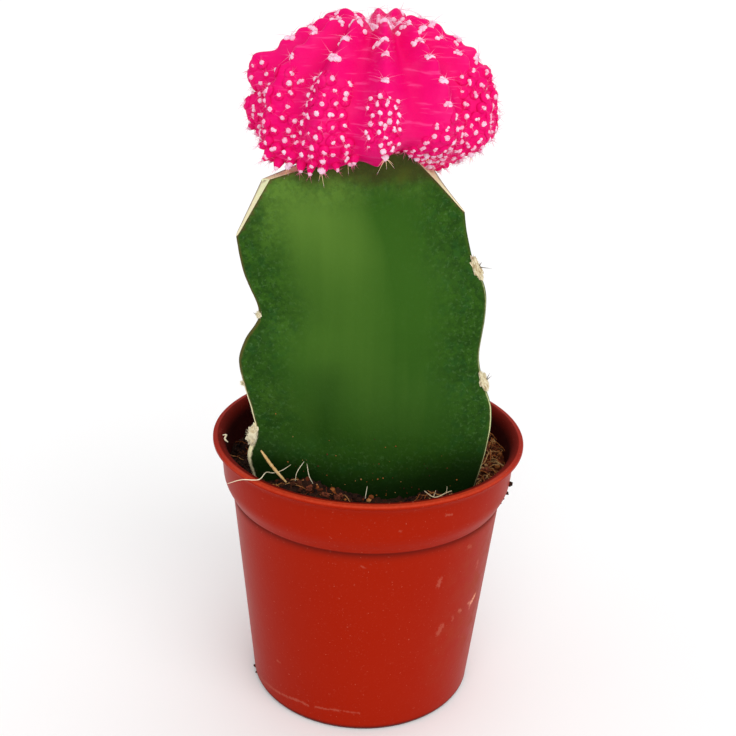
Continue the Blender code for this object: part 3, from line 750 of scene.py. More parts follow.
def stemSkin():
    f = Finish("stemSkin", stem, 0.38, 0.05)
    x, y, z = f.axis("X"), f.axis("Y"), f.axis("Z")
    toMargin = f.painted("toMargin")  # millimetres from the nearest rib's margin
    broad = f.grain(14.0, 2, 0.5, (1, 1, 0.35))
    streaks = f.grain(2.4, 2, 0.5, (1, 1, 0.05), shift=6)
    cloud, fine = f.grain(3.2, 4, 0.6, shift=5), f.grain(0.55, 4, 0.65, shift=2)
    blue, grit = f.grain(1.9, 3, 0.6, shift=8), f.grain(0.9, 3, 0.7, shift=8)
    # painted light: the front is painted paler high up and left of its middle, where the light falls on it
    # most
    aside = (x + 5.0 + z.between(80, 95) * 7.0 - (1 - z.between(58, 72)) * 6.0) / (10.0 + broad * 4)
    paintedLight = (1 - aside * aside).held() * (0.22 * z.between(42, 70) + 0.78 * z.between(76, 98))
    paintedLight = paintedLight * (1 - y.between(-6, 0)) + (broad - 0.5) * 0.3 + (streaks - 0.5) * 0.32
    paintedLight = paintedLight + z.between(86, 99) * x.between(0, 5) * 0.22 + f.near(*stem["paintedLightPatch"]) * 0.30
    paintedLight = paintedLight - 0.16 * x.between(-6, 2) * z.between(76, 84) * (1 - z.between(92, 97))
    paintedLight = paintedLight + 0.20 * z.between(93, 98) * (1 - x.between(2, 9))
    nearRib = (1 - toMargin.between(1.0, 11.0)).bigger(z.between(91, 99) * 0.6)
    nearRib = nearRib.bigger((1 - z.between(46, 58)) * 0.7)
    flecks = f.grain(0.6, 3, 0.7, shift=11).between(0.52, 0.68) * (nearRib * 0.9 + 0.1)
    low = z + cloud * 5 - (x + 1) * (x + 1) * 0.012
    # old cork along the margins, cream near the soil
    cork = 1 - (toMargin + (fine - 0.5) * 0.5).between(0.20, 0.75)
    rightSide = x.between(-1, 1)
    narrow = 1 - (toMargin + (fine - 0.5) * 0.3 + rightSide * 0.12).between(0.18, 0.42)
    wide = 1 - (toMargin + (fine - 0.5) * 0.6).between(0.45, 0.95)
    reach = (1 - (z + cloud * 4).between(62, 68)).bigger((1 - z.between(80, 85)) * rightSide * 0.55)
    lowCork = (narrow * reach).bigger(wide * (1 - z.between(51, 54)) * (1 - rightSide))
    colour = f.coats(
        "skin",
        # painted light on the upper left of the front
        (paintedLight.held(), "skinLight"),
        # darker towards the bottom: partly the skin's own darker colour, partly painted shade from the
        # pot's rim and the peat
        ((1 - z.between(48, 78)) * 0.5, "skinDark"),
        (cloud.between(0.38, 0.60) * nearRib * 0.46, "skinDark"),
        (blue.between(0.5, 0.64) * nearRib * 0.34, "skinBlue"),
        (grit.between(0.44, 0.60) * nearRib * 0.55, "skinDark"),
        (flecks * 0.20, "fleck"),
        (f.near(*stem["yellowPatch"]) * cloud.between(0.25, 0.55) * 0.75, "yellowed"),
        # painted shadow: a dark brown band just under the scion's edge
        ((z + (cloud - 0.5) * 3).between(96.1, 98.9) * 0.68, "graftBrown"),
        (f.near(*stem["shadedPatch"]) * 0.30, "skinDark"),
        # near the peat: partly darker skin, partly painted shade
        ((1 - low.between(46.5, 54.0)) * 0.88, "skinLow"),
        (cork * (0.85 - rightSide * 0.65), "cork"),
        (lowCork * (1 - y.between(-8.5, -4)) * 0.95, f.mix(rightSide, "creamCork", "greenCork")),
        (f.painted("cutEdge") * (0.5 + fine * 0.7).held(), "scar"))
    roughness = 0.36 + cloud * 0.14 + nearRib * 0.08 + cork * 0.3
    relief = fine * 0.5 + cloud * 1.2 + flecks * 0.8 + cork * f.worn() * 2.5
    return f.wear(Base_Color=colour, Roughness=roughness, Normal=f.raised(relief, 0.06))


def stemFlesh():
    f = Finish("stemFlesh", stem, 0.8, 0.2)
    share = f.painted("across") + (f.grain(1.0, 4, 0.6) - 0.5) * 0.15  # 0 in front, 1 at the back
    fine = f.worn()
    colour = f.coats(
        "flesh",
        (f.axis("Z").between(92.5, 96.5), "fleshFresh"),  # greener near the graft
        (share.between(0.68, 0.86) * 0.65, "driedFlesh"),
        (share.between(0.88, 0.97) * 0.85, "scar"),
        (fine.between(0.55, 0.8) * 0.12, "driedFlesh"))
    return f.wear(Base_Color=colour, Normal=f.raised(fine + f.cells(0.9) * 0.6, 0.06))


def makeStem():
    rise = (stem["top"] - stem["foot"]) / stem["rings"]
    points = []
    for i in range(stem["rings"] + 1):
        outline = stemSection(stem["foot"] + rise * i)
        for p in outline:
            out = (p - stem["axis"]).xy.to_3d().normalized()
            points.append(p + out * (uneven(p, stem["uneven"]) - stem["inset"]))
    bm = bmesh.new()
    toMargin, across, cutEdge = map(bm.verts.layers.float.new, ("toMargin", "across", "cutEdge"))
    verts = [bm.verts.new(p) for p in points]
    for face in loftFaces(stem["rings"] + 1, len(outline)):
        bm.faces.new([verts[i] for i in face])
    bm.normal_update()
    cutStem(bm)
    bmesh.ops.remove_doubles(bm, verts=bm.verts[:], dist=0.02)
    bm.normal_update()
    for face in [f for f in bm.faces if f.material_index == 1]:
        fillCut(bm, face, across)
    bm.normal_update()
    if bm.calc_volume(signed=True) < 0:
        bmesh.ops.reverse_faces(bm, faces=bm.faces[:])
    for vert in bm.verts:
        vert[toMargin] = min((vert.co - tip).xy.length for tip in tipsAt(round(vert.co.z, 1)))
        vert[cutEdge] = 1 - shareBetween(-pastCuts(vert.co), 0, stem["cutEdgeWidth"])
    for face in bm.faces:
        face.smooth = True
    bmesh.ops.scale(bm, vec=(mm, mm, mm), verts=bm.verts)
    mesh = bpy.data.meshes.new("stem")
    bm.to_mesh(mesh)
    bm.free()
    mesh.set_sharp_from_angle(angle=math.radians(32))
    addPiece("stem", mesh, [stemSkin(), stemFlesh()], "stem_skin", "rootstock")


# the peat, with its grains and fibres

peat = {
    "level": 44.0,
    # mounds, the heap of fibres at the right and lighter places, the one at the right partly painted light:
    # x, y, height, spread
    "mounds": (
        (-11.0, -15.0, 2.2, 6.0), (20.0, 7.0, 1.5, 7.0), (4.0, -17.0, -0.9, 6.0),
        (-4.0, 19.0, 0.8, 6.0),
    ),
    "fibreHeap": (22.0, 1.0, 2.0, 6.0),
    "paleAndLitPlaces": ((-3.0, -17.0, 0.02, 9.0), (23.0, -1.0, 0.46, 10.0)),
    "palerGrains": (-4.0, -17.0, 0.50, 8.0),
    "segments": 360,
    "rings": 84,
    "span": 24,  # grains and fibres are looked for this far from the pot's axis
    "rimHeight": 45.0,  # where the gaps round the stem and inside the wall are measured
    "stemGap": 0.25,
    "wallGap": 0.08,
    "coreReach": 0.02,
    # heights of the socket that the stem grew in, and of the peat's side against the pot
    "socket": (17.6, 20.0, 24.0, 28.0, 32.0, 36.0, 40.0),
    "side": (40.5, 39.5, 38.2, 30.0, 20.0, 10.0, 2.5),
    "buriedShade": 0.1,
    "grains": 3800,
    "grainSize": (0.13, 7.0, 0.62),  # least, how fast greater ones grow rare, greatest
    "fibres": 760,
    "fibreLength": (1.2, 4.6),
    "fibreThickness": (0.04, 0.11),
    "fibreArch": (0.1, 0.9),
    "fibreSway": (-0.9, 0.9),
    "fibreTaper": (0.5, 0.8, 1, 1, 1, 0.8, 0.5),
    # the fibres at the right are paler, partly their own ochre and partly painted light
    "fibreTones": ((0.4, 0.55, 0.7, 0.8, 0.9), (0.7, 0.78, 0.84, 0.9, 1.0)),  # at the left, the right
    # specks on the pot: turn from the front, height, size
    "wallSpecks": (
        (77.5, 42.7, 0.54), (78.5, 42.1, 0.30), (77.0, 40.9, 0.46), (75.0, 40.2, 0.22),
        (73.5, 39.6, 0.28), (-79.0, 0.7, 0.40), (-74.5, 0.5, 0.24), (140.0, 36.0, 0.3),
        (200.0, 12.0, 0.4),
    ),
    "stemSpecks": 95,
    "stemSpeckStart": 43.0,
    "stemSpeckSize": (0.05, 18.0, 0.16),
    "dark": (0.0110, 0.0050, 0.0040),
    "brown": (0.060, 0.020, 0.009),
    "red": (0.150, 0.026, 0.008),
    "ochre": (0.460, 0.145, 0.034),
    "pale": (0.620, 0.380, 0.160),
}
groundTurns = [turn - math.pi for turn in evenTurns(peat["segments"], 0.5)]


def humps(x, y, *places):  # the height that soft humps add up to at a point
    return sum(height * bump(math.hypot(x - cx, y - cy), s) for cx, cy, height, s in places)


def soilHeight(x, y):  # the broad shape of the peat's top
    waves = 0.22 * math.sin(0.9 * x + 1.3) * math.cos(0.8 * y)
    return peat["level"] + humps(x, y, *peat["mounds"]) + waves


def soilTop(x, y):  # with its crumbs
    fine = 0.6 * rough(x, y, 0, 2.1) + 0.5 * rough(x, y, 5, 0.9) + 0.22 * rough(x, y, 9, 0.4)
    return soilHeight(x, y) + fine - 0.15


# darkest at the left, partly as painted shade; lighter at the right, partly painted light and partly its
# ochre fibres
def peatShade(x, y):  # the peat's tone: darkest at the left, redder in front, lighter at the right
    return 0.12 + humps(x, y, *peat["paleAndLitPlaces"]) + 0.14 * rough(x, y, 3, 1.5)


@cache
def stemReach(height):  # the reach of the gap round the stem, at each of the ground's turns
    flat = np.array([(p - stem["axis"])[:2] for p in stemSection(height, peat["stemGap"])])
    turns, reach = np.arctan2(flat[:, 1], flat[:, 0]), np.hypot(flat[:, 0], flat[:, 1])
    order = np.argsort(turns)
    turns = np.concatenate([turns[order] + lap * 2 * math.pi for lap in (-1, 0, 1)])
    return np.interp(groundTurns, turns, np.tile(reach[order], 3))


def peatFinish():
    f = Finish("peatFinish", peat, 0.95, 0.15)
    shade = f.painted("shade") + (f.grain(0.7, 4, 0.7) - 0.5) * 0.5
    colour = f.ramp(
        shade.held(), (0.0, "dark"), (0.35, "brown"), (0.6, "red"), (0.8, "ochre"), (1.0, "pale"))
    return f.wear(Base_Color=colour, Normal=f.raised(f.worn() + f.grain(1.0, 4, 0.7), 0.25))


def makePeat(finish):
    ax, ay, _ = stem["axis"]
    count, rings = peat["segments"], peat["rings"]
    ways = [(math.cos(turn), math.sin(turn)) for turn in groundTurns]
    points, shades = [], []

    def ringAt(height, reach):
        points.extend((ax + cx * r, ay + cy * r, height) for (cx, cy), r in zip(ways, reach))
        shades.extend([peat["buriedShade"]] * count)

    def wallReach(height):  # from the stem's axis to the pot's wall
        radius = innerWall(height) - peat["wallGap"]
        along = [ax * cx + ay * cy for cx, cy in ways]
        return [math.sqrt(b * b - (ax * ax + ay * ay - radius * radius)) - b for b in along]

    core = [peat["coreReach"]] * count
    ringAt(peat["socket"][0], core)
    for height in peat["socket"]:
        ringAt(height, stemReach(max(height, stem["foot"])))
    rim, outer = stemReach(peat["rimHeight"]), wallReach(peat["level"])
    for k in range(rings + 1):
        share = (k / rings) ** 0.9
        for (cx, cy), start, end in zip(ways, rim, outer):
            r = start + (end - start) * share
            x, y = ax + cx * r, ay + cy * r
            points.append((x, y, soilTop(x, y) - 0.5 * share**12))
            shades.append(peatShade(x, y))
    for height in peat["side"]:
        ringAt(height, wallReach(height))
    ringAt(peat["side"][-1], core)
    heap = Heap()
    heap.add(points, loftFaces(len(points) // count, count), shades)
    heap.piece("peatBed", 80, [finish], "peat", "potting_soil")


def openGround(chance, spare):  # a random place on the peat clear of the stem and the wall
    ax, ay, _ = stem["axis"]
    limit = innerWall(peat["rimHeight"]) - spare - 0.2
    span, count = peat["span"], peat["segments"]
    while True:
        x, y = chance.uniform(-span, span), chance.uniform(-span, span)
        if math.hypot(x, y) > limit:
            continue
        share = (math.atan2(y - ay, x - ax) + math.pi) / (2 * math.pi)
        rim = stemReach(peat["rimHeight"])[int(share * count) % count]
        if math.hypot(x - ax, y - ay) > rim + spare:
            return x, y


def makeGrains(finish):
    chance = random.Random(11)
    heap = Heap()
    for _ in range(peat["grains"]):
        size = anySize(chance, *peat["grainSize"])
        x, y = openGround(chance, size * 0.7)
        shade = peatShade(x, y) + chance.gauss(0.02, 0.16)
        if chance.random() < 0.42:
            shade += humps(x, y, peat["palerGrains"])
        if chance.random() < 0.02:
            shade += 0.45
        squash = np.array([1, chance.uniform(0.6, 1), chance.uniform(0.45, 0.9)])
        points, faces = lumpyGrain(chance, 0.75)
        turn = Matrix.Rotation(chance.uniform(0, 6.3), 3, "Z")
        turn = np.array(turn @ Matrix.Rotation(chance.gauss(0, 0.5), 3, "X"))
        place = np.array([x, y, soilTop(x, y) + size * chance.uniform(0.1, 0.5)])
        heap.add((points * squash * size) @ turn.T + place, faces, shade)
    heap.piece("peatGrains", 25, [finish], "peat")


def makeFibres(finish):
    chance = random.Random(23)
    heap, limit, atRight = Heap(), innerWall(peat["rimHeight"]) - 0.3, 8
    for n in range(peat["fibres"]):
        x, y = openGround(chance, 0.8)
        if n % 2 and x < atRight:  # most lie at the right
            x, y = openGround(chance, 0.8)
        if n % 3 and x < atRight:
            continue
        length, turn = chance.uniform(*peat["fibreLength"]), chance.uniform(0, 2 * math.pi)
        arch, sway = chance.uniform(*peat["fibreArch"]), chance.uniform(*peat["fibreSway"])
        heaped = chance.uniform(0.0, 1.0)
        route = []
        for t in (k / 6 - 0.5 for k in range(7)):
            ahead, bow = length * t, (0.25 - t * t) * 3
            px = x + math.cos(turn) * ahead - math.sin(turn) * sway * bow
            py = y + math.sin(turn) * ahead + math.cos(turn) * sway * bow
            inward = min(1.0, limit / math.hypot(px, py))
            px, py = px * inward, py * inward
            pile = humps(px, py, peat["fibreHeap"]) * heaped
            route.append((px, py, soilTop(px, py) + 0.12 + pile + arch * bow))
        thick = chance.uniform(*peat["fibreThickness"])
        shade = chance.choice(peat["fibreTones"][x > atRight]) + chance.uniform(-0.1, 0.05)
        heap.add(*tubeShape(route, [thick * s for s in peat["fibreTaper"]], 4), shade)
    heap.piece("peatFibres", 60, [finish], "peat")


def makeSpecks(finish):  # peat splashed on the stem's foot and on the pot
    chance = random.Random(5)
    heap = Heap()
    for turn, height, size in peat["wallSpecks"]:
        points, faces = lumpyGrain(chance, 0.7)
        heap.add(points * size + np.array(wallAt(turn, height)), faces, chance.uniform(0.05, 0.3))
    for _ in range(peat["stemSpecks"]):
        height = peat["stemSpeckStart"] + chance.expovariate(0.32)
        section = stemSection(height)
        inFront = chance.random() < 0.75
        span = (6, len(section) // 3 - 6) if inFront else (0, len(section))
        p = section[chance.randrange(*span)]
        if height < soilHeight(p.x, p.y):
            continue
        size = anySize(chance, *peat["stemSpeckSize"])
        points, faces = lumpyGrain(chance, 0.7)
        heap.add(points * size + np.array(p), faces, chance.choice((0.2, 0.5, 0.6, 0.75, 0.9)))
    heap.piece("peatSpecks", 25, [finish], "peat")


# the felted areoles on the rootstock's ribs

areoles = {
    "felt": (0.560, 0.430, 0.230),
    "feltPale": (0.860, 0.780, 0.540),
    "feltRed": (0.300, 0.110, 0.050),
    "spine": (0.050, 0.032, 0.024),
    "lumps": ((1.7, 0.42), (4.5, 0.26)),  # how closely they follow one another, and their height
    "hairs": 150,
    "hairLength": (0.15, 0.42),
    "hairThickness": 0.035,
    "spineThickness": 0.11,
    # height, how far out it stands, half sizes out, across and along the rib, how pale, and
    # its spines as lean and length
    "pads": {
        "left_upper": (74.4, 0.0, (0.50, 0.55, 0.55), 1.0, (((0, 0, 0.5), 0.7),)),
        "left_middle": (62.8, 0.0, (0.28, 0.35, 0.40), 0.7, ()),
        "left_lower": (53.0, 0.35, (0.95, 1.0, 1.75), 0.9, (((0, 0, 0.9), 1.0), ((0.2, 0, -0.4), 0.6))),
        "right_upper": (83.6, 0.0, (0.66, 0.75, 2.3), 0.6, (((0, 0, -0.45), 2.1), ((0, 0, 0.9), 0.8))),
        "right_lower": (64.6, 0.15, (0.72, 0.75, 1.55), 0.7, (((0, 0, 0.5), 1.1), ((0, 0, 1.6), 1.2))),
        "back_upper": (78.5, 0.1, (0.70, 0.75, 1.3), 0.6, (((0.2, 0, 0.3), 1.5),)),
        "back_lower": (59.2, 0.1, (0.75, 0.80, 1.5), 0.7, (((-0.2, 0, 0.4), 1.4),)),
    },
}


def feltFinish():
    f = Finish("areoleFelt", areoles, 0.95, 0.15, Sheen_Weight=0.25)
    shade = f.painted("shade") + (f.worn() - 0.5) * 0.8
    colour = f.ramp(shade.held(), (0.0, "feltRed"), (0.4, "felt"), (0.85, "feltPale"))
    return f.wear(Base_Color=colour, Normal=f.raised(f.worn(), 0.25))


def spineFinish():
    f = Finish("darkSpine", areoles, 0.5, 0.5)
    return f.wear(Base_Color=f.mix(f.grain(0.4, 3, 0.6) * 0.25, "spine", "felt"))


def makeAreoles():
    finishes = [feltFinish(), spineFinish()]
    ball, faces = fineBall
    for number, (name, (height, stand, size, pale, spines)) in enumerate(areoles["pads"].items()):
        chance = random.Random(40 + number)
        rib, tall = name.split("_")[0], size[2]
        along = (marginAt(rib, height + tall) - marginAt(rib, height - tall)).normalized()
        across = levelWay(stem["ribTurns"][rib] + 90)
        out = across.cross(along)
        onPad = Matrix((out, across, along)).transposed()
        centre = marginAt(rib, height) + out * stand
        heap, spots, shades = Heap(), [], []
        for p in ball:
            lump = 1 + sum(rise * rough(*(p * often + number), 1.0) for often, rise in areoles["lumps"])
            spots.append(centre + onPad @ Vector(p * np.array(size) * lump))
            shades.append(0.25 + 0.6 * pale + 0.55 * rough(*(p * 3.4 + number), 1.0))
        heap.add(spots, faces, shades)
        for _ in range(areoles["hairs"]):
            way = anyWay(chance).normalized()
            root = centre + onPad @ (way * Vector(size)) * 0.9
            way = onPad @ way
            if way.dot(out) < -0.25:
                continue
            bend, length = anyWay(chance, 0.12), chance.uniform(*areoles["hairLength"])
            hair = needleShape(root, way + out * 0.3, length, areoles["hairThickness"], bend, 3, 3)
            heap.add(*hair, 0.4 + 0.6 * pale + chance.uniform(-0.15, 0.2))
        for lean, length in spines:
            way, root, thick = out + Vector(lean), centre + out * size[0] * 0.6, areoles["spineThickness"]
            heap.add(*needleShape(root, way, length + 0.25, thick, (0, 0, 0.12), 6, 5), 0.0, 1)
        pieceName = "areole" + name.title().replace("_", "")
        heap.piece(pieceName, 70, finishes, "areole_felt", f"areole_{name}")


# the scion, a pink ball with ribs, wool, spines and clusters of offsets

scion = {
    "centre": Vector((-1.0, 0.0, 105.5)),
    "lean": 2.0,  # degrees towards the right
    "radius": 19.6,
    "upper": 14.2,
    "lower": 8.8,
    "ribs": 12,
    "firstRib": 5.0,
    "groove": 2.3,
    "grooveShape": 1.7,
    "grooveRise": 1.15,  # how soon the grooves are at their full depth, down from the crown
    "grooveFade": (95, 125, 0.55),  # where they grow shallow underneath, and by what share
    "crestNarrowing": (10, 55, 0.5, 1.5),  # from and to, then its sharpness at first and added
    "dimpleDepth": 1.7,
    "dimpleSpread": 13.0,
    "uneven": ((0.14, 4.0, 1.0), (0.05, 1.2, 2.0)),
    "columns": 384,
    "rows": 168,
    # the chin below each areole: degrees from the crown, height, spread
    "chins": (
        (14.5, 0.7, 5.2), (26.0, 1.5, 5.2), (36.0, 1.3, 4.4), (46.0, 1.3, 4.6), (59.5, 1.1, 5.5),
        (73.0, 0.8, 5.5),
    ),
    # dents and swellings: azimuth, degrees from the crown, the spread of each, depth
    "dents": (
        (17.0, 126.0, 9.0, 20.0, 2.4), (35.0, 125.0, 13.0, 20.0, 2.5), (-46.0, 121.0, 22.0, 16.0, -2.4),
        (0.0, 128.0, 12.0, 18.0, 1.0), (-88.0, 64.0, 13.0, 9.0, -1.8), (64.0, 124.0, 16.0, 14.0, 0.8),
        (-88.0, 79.0, 12.0, 4.2, 1.4), (-88.0, 92.0, 16.0, 20.0, -0.8), (96.0, 104.0, 14.0, 18.0, -0.7),
        (92.0, 48.0, 14.0, 13.0, -0.5),
        # the biggest tubercles, in a ring round the crown
        (168.0, 16.5, 30.0, 8.5, -2.5), (236.0, 16.5, 23.0, 8.0, -2.0), (110.0, 17.0, 23.0, 8.0, -1.7),
        (5.0, 19.0, 16.0, 6.5, -1.9), (-33.0, 19.0, 16.0, 6.5, -1.9), (43.0, 19.0, 16.0, 6.5, -1.5),
        (-66.0, 18.0, 15.0, 6.5, -1.6), (77.0, 18.0, 14.0, 6.5, -0.9),
    ),
    # where the areoles are on the crest of each rib; the others are like the second
    "areoles": {
        0: (9.5, 20.5, 31.0, 41.0, 57.0), 1: (9.5, 20.5, 31.0, 42.0, 57.0, 70.5),
        3: (10.0, 22.0, 36.0, 50.0), 10: (10.0, 21.0, 34.0, 50.0), 11: (10.0, 21.0, 34.0, 48.0),
    },
    "woolSize": (0.64, 1.08),
    "woolLumps": 9,
    "woolHairs": 14,
    "woolHairThickness": 0.03,
    # spines: how many, least and greatest length, half thickness
    "ribSpines": (6, 1.4, 3.4, 0.036),
    "crownSpines": (36, 0.8, 3.2, 0.05),
    "offsetSpines": (6, 0.5, 1.4, 0.034),
    "graftSpineThickness": 0.065,
    "crownLumps": 30,
    "crownSpread": 2.1,
    "crownSpineSpread": 2.4,
    # each rib's cluster of offsets: where it starts and ends in degrees from the crown, its
    # half widths at the start and lower down, and how far its last offsets hang
    "clusters": (
        (65, 101, 2.3, 2.6, 0.0), (77, 146, 2.4, 4.4, 0.1), (53, 146, 2.8, 5.6, 0.2),
        (58, 134, 3.0, 4.8, 0.5), (62, 122, 2.8, 4.0, 0.4), (60, 122, 2.8, 4.0, 0.4),
        (66, 122, 2.8, 4.0, 0.4), (68, 122, 2.8, 4.0, 0.4), (62, 122, 2.8, 4.0, 0.4),
        (60, 122, 3.0, 4.4, 1.3), (59, 125, 3.0, 5.0, 1.4), (57, 125, 3.1, 4.8, 1.2),
    ),
    # offsets: least and greatest radius, how much smaller the lowest are, the gap between two;
    # those of the first cluster are small and close together
    "offsetSizes": (0.80, 1.16, 0.22, 1.38),
    "smallOffsetSizes": (0.66, 0.90, 0.0, 1.0212),
    "offsetTries": 900,
    # the wool on an offset: how far it is drawn out, and its number of dots
    "offsetWool": ((0.0, 1), (0.0, 1), (0.2, 2), (0.28, 2), (0.34, 3), (0.42, 3)),
    # the low areoles over the graft: azimuth, polar, how far out each stands, its spines' lengths
    "graftTufts": (
        (6.5, 110, 0.3, (1.6, 2.6, 1.5, 1.9, 1.4)), (-45, 124, 0.9, (1.7, 1.1)),
        (-25, 123, 0.9, (1.4, 2.3)), (-13, 124, 0.1, (1.9,)), (34, 119, 0.3, (1.0, 1.3)),
        (62, 114, 0.5, (1.2, 1.0)), (150, 116, 0.5, (1.5, 1.2)), (210, 116, 0.5, (1.4, 1.2)),
    ),
    "skin": (0.795, 0.0020, 0.152),
    "skinDeep": (0.720, 0.0012, 0.120),
    "skinPale": (0.860, 0.080, 0.310),
    "offset": (0.795, 0.0023, 0.148),
    "offsetDeep": (0.640, 0.0010, 0.085),
    "wool": (0.950, 0.680, 0.830),
    "woolPink": (0.880, 0.200, 0.420),
    "spinePink": (0.860, 0.110, 0.300),
    "spineCream": (0.800, 0.560, 0.300),
    "spineTip": (0.230, 0.090, 0.110),
}
scionLean = Matrix.Rotation(math.radians(scion["lean"]), 3, "Y")
cadTop = cadBox[1][2] / mm


def ribAzimuth(rib):  # where the crest of a rib is
    return scion["firstRib"] + 360 / scion["ribs"] * rib


def grooveAt(azimuth):  # 0 on the crest of a rib, 1 in a groove
    phase = math.radians(azimuth - scion["firstRib"]) * scion["ribs"] / 2
    return abs(math.sin(phase)) ** scion["grooveShape"]


def scionPoint(azimuth, polar):  # azimuth from -Y towards +X, polar from the crown
    groove, t = grooveAt(azimuth), math.radians(polar)
    start, end, fade = scion["grooveFade"]
    under = shareBetween(polar, start, end)
    depth = scion["groove"] * groove * math.sin(min(t * scion["grooveRise"], math.pi / 2))
    depth *= 1 - fade * under * under * (3 - 2 * under)
    for turn, down, wide, tall, bite in scion["dents"]:
        if abs(polar - down) < tall * 3:
            depth += bite * bump((azimuth - turn + 180) % 360 - 180, wide) * bump(polar - down, tall)
    start, end, sharpness, added = scion["crestNarrowing"]
    crest = (1 - groove) ** (sharpness + added * shareBetween(polar, start, end))
    for chin, height, spread in scion["chins"]:
        depth -= height * crest * bump(polar - chin, spread)
    x = (scion["radius"] - depth) * math.sin(t)
    z = (scion["upper" if polar < 90 else "lower"] - depth) * math.cos(t)
    z -= scion["dimpleDepth"] * bump(polar, scion["dimpleSpread"])
    a = math.radians(azimuth)
    return scion["centre"] + scionLean @ Vector((x * math.sin(a), -x * math.cos(a), z))


def skinFrame(azimuth, polar):  # a place on the scion, its outward way, and across and down the rib
    step = 0.4
    aside = scionPoint(azimuth + step, polar) - scionPoint(azimuth - step, polar)
    below = scionPoint(azimuth, polar + step) - scionPoint(azimuth, polar - step)
    out, across = below.cross(aside).normalized(), levelWay(azimuth)
    return scionPoint(azimuth, polar), out, across, out.cross(across).normalized()


def scionSkin():
    f = Finish("scionSkin", scion, 0.42, 0.04)
    bands, fine = f.grain(0.8, 3, 0.55, (0.16, 0.16, 1.5)), f.grain(0.45, 3, 0.6, shift=4)
    colour = f.coats(
        "skin",
        # painted shade: the skin is darker in the grooves
        (f.painted("shade").between(0.55, 1.0) * 0.65, "skinDeep"),  # in the grooves
        (bands.between(0.56, 0.70) * 0.42, "skinPale"),
        (f.grain(4.0, 3, 0.5, shift=1).between(0.45, 0.75) * 0.12, "skinPale"))
    relief = f.raised(bands * 1.2 + fine * 0.5, 0.10)
    return f.wear(Base_Color=colour, Roughness=0.36 + fine * 0.15, Normal=relief)


def offsetSkin():
    f = Finish("offsetSkin", scion, 0.45, 0.04)
    # painted shade towards each knob's foot
    colour = f.mix(f.painted("shade").held(), "offsetDeep", "offset")
    colour = f.mix(f.grain(0.9, 3, 0.6).between(0.5, 0.75) * 0.2, colour, "skinPale")
    return f.wear(Base_Color=colour, Normal=f.raised(f.grain(0.35, 3, 0.6), 0.06))


def woolFinish():
    f = Finish("scionWool", scion, 0.95, 0.1, Sheen_Weight=0.3)
    shade = f.painted("shade") + (f.grain(0.22, 3, 0.7) - 0.5) * 0.4
    colour = f.mix(shade.held(), "woolPink", "wool")
    return f.wear(Base_Color=colour, Normal=f.raised(f.worn(), 0.12))


def scionSpines():
    f = Finish("scionSpines", scion, 0.45, 0.3)
    stops = (0.0, "spineTip"), (0.45, "spinePink"), (0.7, "wool"), (1.0, "spineCream")
    return f.wear(Base_Color=f.ramp(f.painted("shade"), *stops))


def makeScion():
    columns, rows = scion["columns"], scion["rows"]
    points, shades = [], []
    for r in range(rows + 1):
        polar = 0.05 + 179.9 * r / rows
        for c in range(columns):
            azimuth = scion["firstRib"] + 360 * c / columns
            p = scionPoint(azimuth, polar)
            out = (p - scion["centre"]).normalized()
            points.append(p + out * uneven(p, scion["uneven"]) * min(1, polar / 8))
            shades.append(grooveAt(azimuth))
    heap = Heap()
    heap.add(points, [face[::-1] for face in loftFaces(rows + 1, columns)], shades)
    heap.piece("scionGlobe", 75, [scionSkin()], "scion_skin", "scion")


def addWool(heap, azimuth, polar, size, chance):  # a pad of wool that lies on the skin
    wide, tall = (1.25, 0.4) if 14 < polar < 36 else (0.45, 0.9) if polar < 14 else (0.7, 0.6)
    girth = scion["radius"] * math.sin(math.radians(polar))
    for _ in range(scion["woolLumps"]):
        turn = azimuth + math.degrees(chance.uniform(-wide, wide) * size / girth)
        fall = polar + math.degrees(chance.uniform(-tall, tall) * size / scion["radius"])
        spot, out, _, _ = skinFrame(turn, fall)
        lump = size * chance.uniform(0.32, 0.52)
        dome = domeShape(spot - out * lump * 0.2, out, lump, lump * 0.8, 10, 4, 0.14, chance)
        heap.add(*dome, chance.uniform(0.7, 1.0))
    spot, out, across, down = skinFrame(azimuth, polar)
    for _ in range(scion["woolHairs"]):
        fall = across * chance.gauss(0, 1.2) + down * chance.gauss(0, 0.9)
        root = spot + across * chance.gauss(0, 0.4) * size + down * chance.gauss(0, 0.3) * size
        length, thick = size * chance.uniform(0.35, 0.7), scion["woolHairThickness"]
        heap.add(*needleShape(root, out + fall, length, thick, (0, 0, 0), 3, 2), 1.0)
    return spot, out, across, down


def addSpine(heap, needle, tones, slot=1, top=math.inf):  # one tone for each ring of the needle
    route, faces = needle
    if max(p.z for p in route) < top:
        heap.add(route, faces, np.repeat(tones, len(route) // len(tones)), slot)


def makeRibAreoles(finishes):  # wool and spines down the crest of each rib
    chance = random.Random(71)
    heap, (count, shortest, longest, thick) = Heap(), scion["ribSpines"]
    for rib, (start, *_) in enumerate(scion["clusters"]):
        for polar in scion["areoles"].get(rib, scion["areoles"][1]):
            if polar >= start - 3:
                continue
            size = chance.uniform(*scion["woolSize"])
            turn, fall = ribAzimuth(rib) + chance.uniform(-2.5, 1.5), polar + chance.uniform(-0.8, 0.8)
            spot, out, across, down = addWool(heap, turn, fall, size, chance)
            for s in range(count):  # spines that lie back along the skin
                angle = 2 * math.pi * (s + chance.uniform(-0.3, 0.3)) / count
                lie = (across * math.cos(angle) + down * math.sin(angle) * 0.6) * chance.uniform(2.2, 6.0)
                length = chance.uniform(shortest, longest) * (1.0 if polar < 60 else 0.75)
                needle = needleShape(spot + out * 0.2, out + lie, length, thick, out * -0.35, 4, 6)
                addSpine(heap, needle, (0.62, 0.55, 0.5, 0.48, 0.45, 0.42, 0.3), top=cadTop - 0.02)
    heap.piece("ribAreoles", 70, finishes, "crown_wool")


